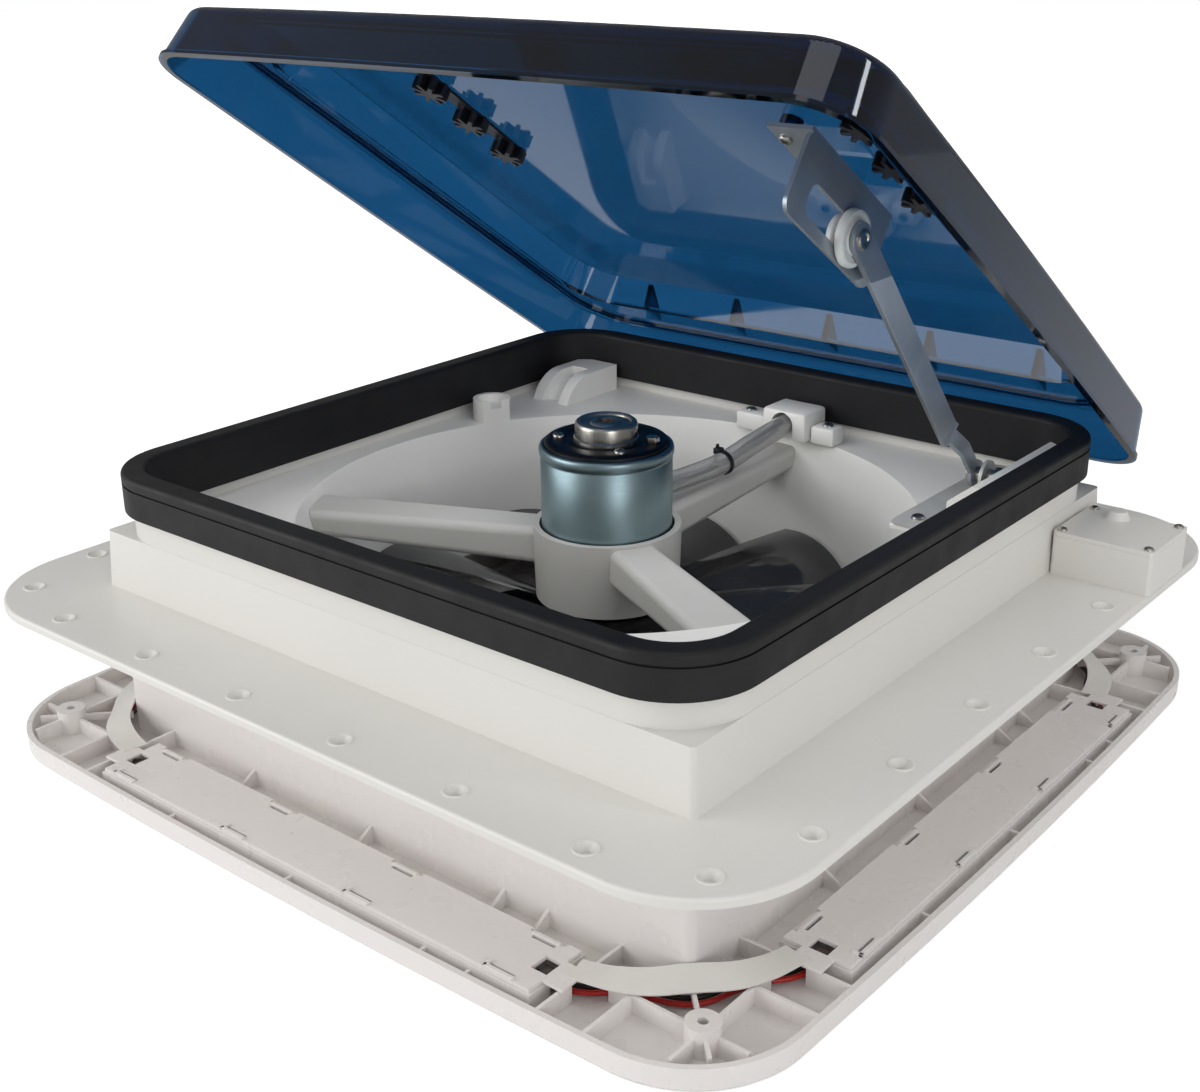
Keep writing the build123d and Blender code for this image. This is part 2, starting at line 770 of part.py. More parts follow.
ear_places = [
    (arch_x - (arch_w + ear_w) / 2, (arch_ear_front + arch_ear_back) / 2),
    (arch_x + (arch_w + ear_w) / 2, (arch_ear_front + arch_ear_back) / 2),
]
with BuildPart() as cable_arch:
    with BuildSketch(Plane.XY.offset(deck_z)):
        with Locations((arch_x, (arch_front + arch_back) / 2)):
            Rectangle(arch_w, arch_back - arch_front)
    extrude(amount=arch_h)
    fillet(cable_arch.faces().sort_by(Axis.Z)[-1].edges(), arch_edge_r)
    with BuildSketch(Plane.XY.offset(deck_z)):
        with Locations(*ear_places):
            Rectangle(ear_w, arch_ear_back - arch_ear_front)
    extrude(amount=ear_h)
    with BuildSketch(Plane.XZ.offset(-arch_front)):
        with Locations((tunnel_x, deck_z + tunnel_r + arch_wall)):
            Circle(tunnel_r)
        with Locations((tunnel_x, deck_z + (tunnel_r + arch_wall) / 2)):
            Rectangle(2 * tunnel_r, tunnel_r + arch_wall)
    extrude(amount=-(arch_back - arch_front - arch_wall), mode=Mode.SUBTRACT)
    with BuildSketch(Plane.XY.offset(deck_z + ear_h - screw_bite)):
        with Locations(*ear_places):
            Circle(arch_screw_r * shank_share + fit_gap)
    extrude(amount=screw_bite, mode=Mode.SUBTRACT)
cable_arch.part.label = "cable_arch"
export_step(cable_arch.part, "parts/cable_arch.step")

with BuildPart() as arch_screws:
    with BuildSketch(Plane.XY.offset(deck_z + ear_h)):
        with Locations(*ear_places):
            Circle(arch_screw_r)
    extrude(amount=arch_screw_h)
    with BuildSketch(Plane.XY.offset(deck_z + ear_h)):
        with Locations(*ear_places):
            Circle(arch_screw_r * shank_share)
    extrude(amount=-screw_bite)
arch_screws.part.label = "arch_screws"
export_step(arch_screws.part, "parts/arch_screws.step")

# Lift plate on its pads, with the ear that carries the arm's shaft
plate_edge_r = 4.0
plate_ear_w = 16.0
plate_ear_rise = 8.0
plate_screw_r = 3.4
plate_screw_h = 1.8
plate_screw_in = 11.0
plate_z = pad_z + plate_t
ear_x = plate_x + plate_w - plate_t
plate_screws_at = [
    (plate_x + plate_w / 2, plate_front + plate_screw_in),
    (plate_x + plate_w / 2, plate_back - plate_screw_in),
]
with BuildPart() as lift_plate:
    with BuildSketch(Plane.XY.offset(pad_z)):
        with Locations((plate_x + plate_w / 2, (plate_front + plate_back) / 2)):
            RectangleRounded(plate_w, plate_back - plate_front, plate_edge_r)
        with Locations((ear_x + plate_t / 2, pivot_y)):
            Rectangle(plate_t, plate_ear_w)
        with Locations(*plate_screws_at):
            Circle(plate_screw_r * shank_share + fit_gap, mode=Mode.SUBTRACT)
    extrude(amount=plate_t)
    with BuildSketch(Plane.YZ.offset(ear_x)):
        with Locations((pivot_y, pivot_z)):
            Circle(plate_ear_rise)
        with Locations((pivot_y, (pad_z + pivot_z) / 2)):
            Rectangle(plate_ear_w, pivot_z - pad_z)
        with Locations((pivot_y, pivot_z)):
            Circle(shaft_r + fit_gap, mode=Mode.SUBTRACT)
    extrude(amount=plate_t)
lift_plate.part.label = "lift_plate"
export_step(lift_plate.part, "parts/lift_plate.step")

with BuildPart() as plate_screws:
    with BuildSketch(Plane.XY.offset(plate_z)):
        with Locations(*plate_screws_at):
            Circle(plate_screw_r)
    extrude(amount=plate_screw_h)
    with BuildSketch(Plane.XY.offset(plate_z)):
        with Locations(*plate_screws_at):
            Circle(plate_screw_r * shank_share)
    extrude(amount=-plate_t)
plate_screws.part.label = "plate_screws"
export_step(plate_screws.part, "parts/plate_screws.step")

# Gear cover, the white rail between the plate and the gasket
cover_x = 140.3
cover_slope_x = 152.5
cover_end_x = rim_clear_half
cover_low_h = 12.0
cover_high_h = 22.0
cover_front = 78.0
cover_back = 166.5
cover_wall = 1.6
cover_slot_r = 9.0
cover_profile = [
    (cover_x, deck_z),
    (cover_end_x, deck_z),
    (cover_end_x, deck_z + cover_high_h),
    (cover_slope_x, deck_z + cover_high_h),
    (cover_x, deck_z + cover_low_h),
]
with BuildPart() as gear_cover:
    with BuildSketch(Plane.XZ.offset(-cover_front)):
        with BuildLine():
            Polyline(*cover_profile, close=True)
        make_face()
    extrude(amount=-(cover_back - cover_front))
    with BuildSketch(Plane.XY.offset(deck_z)):
        RectangleRounded(2 * rim_clear_half, 2 * rim_clear_half, rim_clear_r)
    extrude(amount=cover_high_h, mode=Mode.INTERSECT)
    offset(amount=-cover_wall, openings=gear_cover.faces().sort_by(Axis.Z)[0])
    with BuildSketch(Plane.YZ.offset(cover_x - overrun)):
        with Locations((pivot_y, pivot_z)):
            Circle(cover_slot_r)
    extrude(amount=cover_slope_x - cover_x + overrun, mode=Mode.SUBTRACT)
gear_cover.part.label = "gear_cover"
export_step(gear_cover.part, "parts/gear_cover.step")

# Lift shaft with its head, the toothed sector and the pinion that drives it
shaft_head_r = 5.0
shaft_head_t = 1.5
sector_hub_r = 6.0
sector_first = -10
sector_last = 3
pressure_angle = 20.0
pinion_addendum_share = 0.85
sector_addendum_share = 0.75
dedendum_share = 1.15
tooth_play = 0.24
drive_shaft_r = 2.0
foot_x = arm_x + arm_joggle
mesh_turn = degrees(atan2(drive_z - pivot_z, motor_side))


def tooth_outline(teeth, middle, addendum):
    """Points of one gear tooth around a middle angle, from its left root to its right root."""
    pitch_r = gear_module * teeth / 2
    base_r = pitch_r * cos(radians(pressure_angle))
    root_r = pitch_r - gear_module * dedendum_share
    tip_r = pitch_r + gear_module * addendum
    half = pi / (2 * teeth) - tooth_play / (2 * pitch_r)
    at_pitch = tan(radians(pressure_angle)) - radians(pressure_angle)

    def half_angle(radius):
        pressure = acos(min(base_r / radius, 1))
        return half + at_pitch - (tan(pressure) - pressure)

    levels = [(radius, half_angle(radius)) for radius in (root_r, pitch_r, tip_r)]
    left = [(radius, middle - angle) for radius, angle in levels]
    right = [(radius, middle + angle) for radius, angle in reversed(levels)]
    return [(radius * cos(angle), radius * sin(angle)) for radius, angle in left + right]


with BuildPart() as lift_shaft:
    with BuildSketch(Plane.YZ.offset(foot_x)):
        with Locations((pivot_y, pivot_z)):
            Circle(shaft_r)
    extrude(amount=shaft_end_x - foot_x)
    with BuildSketch(Plane.YZ.offset(foot_x - shaft_head_t)):
        with Locations((pivot_y, pivot_z)):
            Circle(shaft_head_r)
    extrude(amount=shaft_head_t)
lift_shaft.part.label = "lift_shaft"
export_step(lift_shaft.part, "parts/lift_shaft.step")

sector_points = [(0, 0)]
for index in range(sector_first, sector_last + 1):
    tooth_turn = radians(mesh_turn + index * 360 / sector_teeth)
    sector_points += tooth_outline(sector_teeth, tooth_turn, sector_addendum_share)
with BuildPart() as sector_gear:
    with BuildSketch(Plane(origin=(gear_x, pivot_y, pivot_z), x_dir=(0, 1, 0), z_dir=(1, 0, 0))):
        with BuildLine():
            Polyline(*sector_points, close=True)
        make_face()
        Circle(sector_hub_r)
        Circle(shaft_r + fit_gap, mode=Mode.SUBTRACT)
    extrude(amount=gear_t)
sector_gear.part.label = "sector_gear"
export_step(sector_gear.part, "parts/sector_gear.step")

pinion_points = []
for index in range(pinion_teeth):
    tooth_turn = radians(mesh_turn + 180 + (index + 1 / 2) * 360 / pinion_teeth)
    pinion_points += tooth_outline(pinion_teeth, tooth_turn, pinion_addendum_share)
with BuildPart() as drive_pinion:
    with BuildSketch(
        Plane(
            origin=(gear_x - (pinion_t - gear_t) / 2, drive_y, drive_z), x_dir=(0, 1, 0), z_dir=(1, 0, 0)
        )
    ):
        with BuildLine():
            Polyline(*pinion_points, close=True)
        make_face()
        Circle(drive_shaft_r + fit_gap, mode=Mode.SUBTRACT)
    extrude(amount=pinion_t)
drive_pinion.part.label = "drive_pinion"
export_step(drive_pinion.part, "parts/drive_pinion.step")

# Drive housing on the flange, its lid and screws, and the gear motor inside
housing_front = 118.0
housing_back = 163.0
housing_h = 20.0
housing_wall = 2.0
housing_post_r = 3.0
housing_edge_r = 2.0
housing_lid_t = 2.3
housing_screw_r = 2.4
housing_screw_h = 1.2
housing_bite = 8.0
cone_x = 196.0
cone_y = 154.0
cone_r = 6.0
cone_top_r = 4.2
cone_h = 4.0
nose_x = 175.0
nose_r = 6.4
gearbox_r = 7.4
gearbox_len = 20.0
motor_r = 7.0
motor_len = 22.0
shaft_socket = 10.0
housing_x = collar_half + seat_gap
housing_end_x = flange_half - seat_gap
housing_mid = ((housing_x + housing_end_x) / 2, (housing_front + housing_back) / 2)
housing_len = housing_end_x - housing_x
housing_w = housing_back - housing_front
housing_z = flange_t + housing_h
post_in = housing_wall + housing_post_r / 2
with BuildPart() as lift_housing:
    with BuildSketch(Plane.XY.offset(flange_t)):
        with Locations(housing_mid):
            RectangleRounded(housing_len, housing_w, housing_edge_r)
            Rectangle(housing_len - 2 * housing_wall, housing_w - 2 * housing_wall, mode=Mode.SUBTRACT)
            with GridLocations(housing_len - 2 * post_in, housing_w - 2 * post_in, 2, 2):
                Circle(housing_post_r)
    extrude(amount=housing_h)
    with BuildSketch(Plane.XY.offset(housing_z - housing_bite)):
        with Locations(housing_mid):
            with GridLocations(housing_len - 2 * post_in, housing_w - 2 * post_in, 2, 2):
                Circle(housing_screw_r * shank_share + fit_gap)
    extrude(amount=housing_bite, mode=Mode.SUBTRACT)
    with BuildSketch(Plane.YZ.offset(housing_x - overrun)):
        with Locations((drive_y, drive_z)):
            Circle(motor_nose_r)
    extrude(amount=housing_wall + 2 * overrun, mode=Mode.SUBTRACT)
lift_housing.part.label = "lift_housing"
export_step(lift_housing.part, "parts/lift_housing.step")

with BuildPart() as housing_lid:
    with BuildSketch(Plane.XY.offset(housing_z)):
        with Locations(housing_mid):
            RectangleRounded(housing_len, housing_w, housing_edge_r)
            with GridLocations(housing_len - 2 * post_in, housing_w - 2 * post_in, 2, 2):
                Circle(housing_screw_r * shank_share + fit_gap, mode=Mode.SUBTRACT)
    extrude(amount=housing_lid_t)
    with BuildSketch(Plane.XY.offset(housing_z + housing_lid_t)):
        with Locations((cone_x, cone_y)):
            Circle(cone_r)
    with BuildSketch(Plane.XY.offset(housing_z + housing_lid_t + cone_h)):
        with Locations((cone_x, cone_y)):
            Circle(cone_top_r)
    loft()
housing_lid.part.label = "housing_lid"
export_step(housing_lid.part, "parts/housing_lid.step")

with BuildPart() as housing_screws:
    with BuildSketch(Plane.XY.offset(housing_z + housing_lid_t)):
        with Locations(housing_mid):
            with GridLocations(housing_len - 2 * post_in, housing_w - 2 * post_in, 2, 2):
                Circle(housing_screw_r)
    extrude(amount=housing_screw_h)
    with BuildSketch(Plane.XY.offset(housing_z + housing_lid_t)):
        with Locations(housing_mid):
            with GridLocations(housing_len - 2 * post_in, housing_w - 2 * post_in, 2, 2):
                Circle(housing_screw_r * shank_share)
    extrude(amount=-(housing_lid_t + housing_bite))
housing_screws.part.label = "housing_screws"
export_step(housing_screws.part, "parts/housing_screws.step")

gearbox_x = housing_x + housing_wall
with BuildPart() as lift_motor:
    with BuildSketch(Plane.YZ.offset(nose_x)):
        with Locations((drive_y, drive_z)):
            Circle(nose_r)
    extrude(amount=gearbox_x - nose_x)
    with BuildSketch(Plane.YZ.offset(gearbox_x)):
        with Locations((drive_y, drive_z)):
            Circle(gearbox_r)
    extrude(amount=gearbox_len)
    with BuildSketch(Plane.YZ.offset(gearbox_x + gearbox_len)):
        with Locations((drive_y, drive_z)):
            Circle(motor_r)
    extrude(amount=motor_len)
    with BuildSketch(Plane.YZ.offset(nose_x)):
        with Locations((drive_y, drive_z)):
            Circle(drive_shaft_r + fit_gap)
    extrude(amount=shaft_socket, mode=Mode.SUBTRACT)
lift_motor.part.label = "lift_motor"
export_step(lift_motor.part, "parts/lift_motor.step")

with BuildPart() as drive_shaft:
    with BuildSketch(Plane.YZ.offset(gear_x - (pinion_t - gear_t) / 2)):
        with Locations((drive_y, drive_z)):
            Circle(drive_shaft_r)
    extrude(amount=nose_x + shaft_socket - rest_gap - gear_x)
drive_shaft.part.label = "drive_shaft"
export_step(drive_shaft.part, "parts/drive_shaft.step")

# Lift arm: a flat bar folded into a joggle above its foot
arm_fold = Plane(
    origin=(0, pivot_y, pivot_z), x_dir=(0, -arm_cos, arm_sin), z_dir=(0, arm_sin, arm_cos)
)
with BuildPart() as lift_arm:
    with BuildSketch(arm_side(arm_x)):
        Circle(foot_r)
        with Locations(((neck_end + neck_w) / 2, 0)):
            Rectangle(neck_end + neck_w, neck_w)
        with Locations(((arm_len + neck_end) / 2, 0)):
            Rectangle(arm_len - neck_end, arm_w)
        with Locations((arm_len, 0)):
            Circle(arm_w / 2)
        Circle(shaft_r + fit_gap, mode=Mode.SUBTRACT)
        with Locations((arm_len, 0)):
            Circle(roller_pin_r + fit_gap, mode=Mode.SUBTRACT)
    extrude(amount=arm_joggle + arm_t)
    with BuildSketch(arm_fold):
        with BuildLine():
            Polyline(
                (-foot_r - overrun, foot_x),
                (neck_start, foot_x),
                (neck_end, arm_x),
                (arm_len + arm_w, arm_x),
                (arm_len + arm_w, arm_x + arm_t),
                (neck_end + arm_t, arm_x + arm_t),
                (neck_start + arm_t, foot_x + arm_t),
                (-foot_r - overrun, foot_x + arm_t),
                close=True,
            )
        make_face()
    extrude(amount=arm_w, both=True, mode=Mode.INTERSECT)
lift_arm.part.label = "lift_arm"
export_step(lift_arm.part, "parts/lift_arm.step")

# Roller, grooved to ride in the bracket's slot, and its pin
web_x = arm_x - roller_gap - flange_thick - groove_side - web_t
roller_x = web_x - groove_side - back_thick
with BuildPart() as roller:
    with BuildSketch(Plane.YZ.offset(roller_x)):
        with Locations((roller_y, roller_z)):
            Circle(roller_back_r)
    extrude(amount=back_thick)
    with BuildSketch(Plane.YZ.offset(web_x - groove_side)):
        with Locations((roller_y, roller_z)):
            Circle(roller_groove_r)
    extrude(amount=web_t + 2 * groove_side)
    with BuildSketch(Plane.YZ.offset(web_x + web_t + groove_side)):
        with Locations((roller_y, roller_z)):
            Circle(roller_r)
    extrude(amount=flange_thick)
    fillet(roller.edges().filter_by(GeomType.CIRCLE).group_by(SortBy.RADIUS)[-1], groove_side)
    with BuildSketch(Plane.YZ.offset(roller_x)):
        with Locations((roller_y, roller_z)):
            Circle(roller_pin_r + fit_gap)
    extrude(amount=arm_x - roller_x, mode=Mode.SUBTRACT)
roller.part.label = "roller"
export_step(roller.part, "parts/roller.step")

pin_start = roller_x - seat_gap
pin_end = arm_x + arm_t
with BuildPart() as roller_pin:
    with BuildSketch(Plane.YZ.offset(pin_start)):
        with Locations((roller_y, roller_z)):
            Circle(roller_pin_r)
    extrude(amount=pin_end - pin_start)
    with BuildSketch(Plane.YZ.offset(pin_end)):
        with Locations((roller_y, roller_z)):
            Circle(roller_pin_head_r)
    extrude(amount=roller_pin_head_t)
    with BuildSketch(Plane.YZ.offset(pin_start - roller_pin_head_t)):
        with Locations((roller_y, roller_z)):
            Circle(roller_pin_head_r)
    extrude(amount=roller_pin_head_t)
roller_pin.part.label = "roller_pin"
export_step(roller_pin.part, "parts/roller_pin.step")

# Slotted bracket under the lid, where the roller runs, and its screws
bracket_front_reach = 43.1
bracket_back_reach = 38.9
window_front_reach = 29.1
window_back_reach = 24.9
bracket_low_z = 41.0
bracket_top_z = 77.5
bracket_r = 6.0
window_play = 0.6
window_r = 5.0
tab_reach = 22.0
tab_w = 28.0
bracket_screw_x = 103.0
bracket_screw_in_front = 10.0
bracket_screw_in_back = 12.0
bracket_screw_r = 3.2
bracket_screw_h = 1.8
bracket_screw_bite = 4.0
bracket_boss_r = 5.0
roller_closed_y = pivot_y - arm_len * cos(radians(arm_closed))
bracket_front = roller_closed_y - bracket_front_reach
bracket_back = roller_closed_y + bracket_back_reach
window_front = roller_closed_y - window_front_reach
window_back = roller_closed_y + window_back_reach
tab_front = bracket_front + tab_w
tab_back = bracket_back - tab_w
bracket_screws_at = [
    (bracket_screw_x, bracket_front + bracket_screw_in_front),
    (bracket_screw_x, bracket_back - bracket_screw_in_back),
]
tab_z = bracket_top_z - web_t
tab_middle_x = web_x + web_t - tab_reach / 2
with BuildPart() as lid_bracket:
    with BuildSketch(lid_side(web_x)):
        with Locations(((bracket_front + bracket_back) / 2, (bracket_low_z + bracket_top_z) / 2)):
            RectangleRounded(bracket_back - bracket_front, bracket_top_z - bracket_low_z, bracket_r)
        with Locations(((bracket_front + bracket_back) / 2, (bracket_top_z + tab_z) / 2)):
            Rectangle(bracket_back - bracket_front, web_t)
        with Locations(((window_front + window_back) / 2, slot_z)):
            RectangleRounded(
                window_back - window_front,
                2 * (roller_groove_r + window_play),
                window_r,
                mode=Mode.SUBTRACT,
            )
    extrude(amount=web_t)
    with BuildSketch(lid_frame.offset(tab_z)):
        with Locations((tab_middle_x, (bracket_front + tab_front) / 2)):
            Rectangle(tab_reach, tab_front - bracket_front)
        with Locations((tab_middle_x, (tab_back + bracket_back) / 2)):
            Rectangle(tab_reach, bracket_back - tab_back)
        with Locations(*bracket_screws_at):
            Circle(bracket_screw_r * shank_share + fit_gap, mode=Mode.SUBTRACT)
    extrude(amount=web_t)
lid_bracket.part.label = "lid_bracket"
export_step(lid_bracket.part, "parts/lid_bracket.step")

with BuildPart() as bracket_screws:
    with BuildSketch(lid_frame.offset(tab_z)):
        with Locations(*bracket_screws_at):
            Circle(bracket_screw_r)
    extrude(amount=-bracket_screw_h)
    with BuildSketch(lid_frame.offset(tab_z)):
        with Locations(*bracket_screws_at):
            Circle(bracket_screw_r * shank_share)
    extrude(amount=web_t + bracket_screw_bite)
bracket_screws.part.label = "bracket_screws"
export_step(bracket_screws.part, "parts/bracket_screws.step")

# Lid: skirt, ledge, raised panel, seat ribs, gussets, hinge ears and bosses
lid_rib_drop = 1.7
lid_rib_outer = 178.5
lid_rib_r = 36.5
gusset_pitch = 63.5
gusset_count = 5
gusset_shift = 7.0
gusset_t = 3.6
gusset_reach = 19.0
gusset_rise = 14.5
gusset_sink = 3.5
ear_in = 0.5
ear_up = 10.0


def seat_rib(half, corner_r):
    """Ring of one seat rib, drawn round the middle of the lid."""
    with BuildSketch() as ring:
        RectangleRounded(2 * half, 2 * half, corner_r)
        RectangleRounded(
            2 * (half - seat_rib_w), 2 * (half - seat_rib_w), corner_r - seat_rib_w, mode=Mode.SUBTRACT
        )
    return ring.sketch


def skirt_outline(level, inset):
    """Outline of the skirt at a level of the closed lid, drawn in by an inset."""
    lean = lid_lean * (level - skirt_z) / skirt_h
    return bowed_outline(
        lid_half - lean - inset,
        lid_front + lean + inset,
        lid_back - lean - inset,
        lid_bow,
        lid_corner_r - inset,
    )


def panel_outline(level, inset):
    """Outline of the raised panel at a level of the closed lid, drawn in by an inset."""
    lean = panel_lean * (level - ledge_top_z) / panel_h
    half = panel_half - lean - inset
    low = panel_front + lean + inset
    high = panel_back - lean - inset
    with BuildSketch() as outline:
        with Locations((0, (low + high) / 2)):
            RectangleRounded(2 * half, high - low, panel_r - inset)
    return outline.sketch


lid_up = Axis(lid_frame.origin, lid_frame.z_dir)
gusset_lines = [
    gusset_shift + gusset_pitch * (index - (gusset_count - 1) / 2) for index in range(gusset_count)
]
with BuildPart() as lid:
    with BuildSketch(lid_frame.offset(skirt_z)):
        add(skirt_outline(skirt_z, 0))
    with BuildSketch(lid_frame.offset(ledge_top_z)):
        add(skirt_outline(ledge_top_z, 0))
    loft()
    fillet(lid.faces().sort_by(lid_up)[-1].edges(), lid_edge_r)
    with BuildSketch(lid_frame.offset(ledge_top_z)):
        add(panel_outline(ledge_top_z, 0))
    with BuildSketch(lid_frame.offset(panel_z)):
        add(panel_outline(panel_z, 0))
    loft()
    fillet(lid.faces().sort_by(lid_up)[-1].edges(), panel_edge_r)
    with BuildSketch(lid_frame.offset(skirt_z)):
        add(skirt_outline(skirt_z, -bead_out))
    extrude(amount=bead_h)
    for x in gusset_lines:
        with BuildSketch(lid_side(x)):
            with BuildLine():
                Polyline(
                    (panel_back - lid_t / 2, ledge_under_z + lid_t / 2),
                    (panel_back + gusset_reach, ledge_under_z + lid_t / 2),
                    (panel_back - gusset_sink - lid_t / 2, ledge_top_z + gusset_rise),
                    close=True,
                )
            make_face()
        extrude(amount=gusset_t / 2, both=True)
    with BuildSketch(lid_frame.offset(skirt_z)):
        add(skirt_outline(skirt_z, lid_t))
    with BuildSketch(lid_frame.offset(ledge_under_z)):
        add(skirt_outline(ledge_under_z, lid_t))
    loft(mode=Mode.SUBTRACT)
    with BuildSketch(lid_frame.offset(ledge_under_z)):
        add(panel_outline(ledge_under_z, lid_t))
    with BuildSketch(lid_frame.offset(panel_under_z)):
        add(panel_outline(panel_under_z, lid_t))
    loft(mode=Mode.SUBTRACT)
    with BuildSketch(lid_frame.offset(ledge_under_z)):
        add(seat_rib(lid_rib_outer, lid_rib_r))
        add(seat_rib(lid_rib_outer - seat_rib_pitch, lid_rib_r - seat_rib_pitch))
    extrude(amount=-lid_rib_drop)
    for x in (-hinge_x, hinge_x):
        with BuildSketch(lid_side(x)):
            with Locations((hinge_y, hinge_z)):
                Circle(lug_r)
            with Locations((hinge_y - ear_in, (hinge_z + skirt_z + ear_up) / 2)):
                Rectangle(2 * (lug_r - ear_in), skirt_z + ear_up - hinge_z)
            with Locations((hinge_y, hinge_z)):
                Circle(pin_r + fit_gap, mode=Mode.SUBTRACT)
        extrude(amount=ear_t / 2, both=True)
    with BuildSketch(lid_frame.offset(panel_under_z)):
        with Locations(*bracket_screws_at):
            Circle(bracket_boss_r)
    extrude(amount=-(panel_under_z - bracket_top_z))
    with BuildSketch(lid_frame.offset(bracket_top_z)):
        with Locations(*bracket_screws_at):
            Circle(bracket_screw_r * shank_share + fit_gap)
    extrude(amount=bracket_screw_bite + rest_gap, mode=Mode.SUBTRACT)
lid.part.label = "lid"
export_step(lid.part, "parts/lid.step")

# Two rows of star-shaped clips under the panel, each row on its own line
clip_rows = {"left": (-95.0, -98.0), "right": (141.0, -95.0)}
clip_pitch = 32.0
clip_base_w = 9.0
clip_base_t = 1.5
clip_count = 3
clip_h = 6.5
clip_arm_len = 18.0
clip_arm_w = 2.4
clip_arm_count = 4
clip_hub_r = 4.2
clip_len = clip_pitch * (clip_count - 1) + clip_arm_len


def clip_row(x, first_y):
    """One strip with its star-shaped clips, under the panel at x."""
    with BuildPart() as row:
        with BuildSketch(lid_frame.offset(panel_under_z)):
            with Locations((x, first_y + (clip_len - clip_arm_len) / 2)):
                RectangleRounded(clip_base_w, clip_len, clip_arm_w)
        extrude(amount=-clip_base_t)
        with BuildSketch(lid_frame.offset(panel_under_z - clip_base_t)):
            with Locations((x, first_y + (clip_len - clip_arm_len) / 2)):
                with GridLocations(0, clip_pitch, 1, clip_count):
                    Circle(clip_hub_r)
                    with PolarLocations(0, clip_arm_count, angular_range=180):
                        Rectangle(clip_arm_len, clip_arm_w)
        extrude(amount=-clip_h)
    return row.part


lug_left = clip_row(*clip_rows["left"])
lug_left.label = "lug_left"
export_step(lug_left, "parts/lug_left.step")
lug_right = clip_row(*clip_rows["right"])
lug_right.label = "lug_right"
export_step(lug_right, "parts/lug_right.step")

# Hinge pins with their heads
lug_out = ear_t / 2 + ear_gap + lug_t
with BuildPart() as hinge_pins:
    for x, side in ((-hinge_x, -1), (hinge_x, 1)):
        with BuildSketch(Plane.YZ.offset(x)):
            with Locations((hinge_y, hinge_z)):
                Circle(pin_r)
        extrude(amount=lug_out, both=True)
        with BuildSketch(Plane.YZ.offset(x + side * (lug_out + pin_head_t / 2))):
            with Locations((hinge_y, hinge_z)):
                Circle(pin_head_r)
        extrude(amount=pin_head_t / 2, both=True)
hinge_pins.part.label = "hinge_pins"
export_step(hinge_pins.part, "parts/hinge_pins.step")

# Route of the lamp leads round a corner, from one tray to the next
board_len = 244.0
lead_r = 1.2
lead_pitch = 3.4
lead_start = board_len / 2 + seat_gap
lead_insets = [(89.0, 23.5), (73.0, 39.0), (46.0, 46.0), (39.0, 73.0), (23.5, 89.0)]
inward_shares = [(0, 1), (0.41, 1), (0.51, 0.9), (0.82, 0.82), (0.9, 0.51), (1, 0.41), (1, 0)]
lead_turns = [0.0, 90.0, 270.0]
channel_w = 8.2
garnish_over = 1.4
garnish_half = flange_half + garnish_over
lead_side = garnish_half - lead_insets[0][1]
lead_route = [
    (lead_start, -lead_side),
    *[(garnish_half - across, along - garnish_half) for across, along in lead_insets],
    (lead_side, -lead_start),
]


def lead_line(shift):
    """Corners of a lead's route in plan, moved inwards by a shift."""
    return [
        (point[0] - shift * share[0], point[1] + shift * share[1])
        for point, share in zip(lead_route, inward_shares)
    ]


# Inner garnish: face, rim wall, neck, lamp trays, gussets, ribs and corner bosses
garnish_bow = 4.5
garnish_r = 52.0
garnish_z = -77.5
garnish_rim_z = -66.7
face_t = 2.5
rim_wall = 2.6
garnish_edge_r = 2.2
neck_half = 175.5
neck_wall = 2.5
neck_r = 5.0
neck_top_z = 0.0
screen_ledge_z = -73.4
screen_ledge_t = 2.0
screen_ledge_half = 166.0
tray_inset = 24.5
tray_len = 270.0
tray_w = 33.0
tray_wall = 1.8
slot_len = 252.0
slot_w = 12.0
wire_gap = 9.0
rib_lines = [-80.0, 0.0, 80.0, 104.0]
rib_t = 1.6
rib_h = 6.0
cross_rib_near = 142.0
cross_rib_far = 164.0
cross_rib_end = 226.0
boss_inset = 33.0
boss_r = 7.0
boss_bore_r = 2.2
boss_top_z = -62.7
corner_rib_end = 217.4
corner_tie_h = 3.5
corner_tie_out = 208.0
channel_points = lead_line(lead_pitch / 2)
channel_radii = bend_radii([(*point, 0.0) for point in channel_points])
tray_at = garnish_half - tray_inset
boss_at = garnish_half - boss_inset
floor_z = garnish_z + face_t
rim_inner = garnish_half - rim_wall
outer_rib_len = rim_inner - tray_at - tray_w / 2
side_turns = {"front": 0.0, "right": 90.0, "back": 180.0, "left": 270.0}


def tray_place(turn):
    """Location of the middle of the lamp tray on one side."""
    return Rot(0, 0, turn) * Pos(0, -tray_at)


def brace_plane(turn, along):
    """Plane across one side, its x outwards and its y upwards."""
    return Plane(Rot(0, 0, turn) * Pos(along, 0, 0) * Plane((0, 0, 0), (0, -1, 0), (-1, 0, 0)).location)


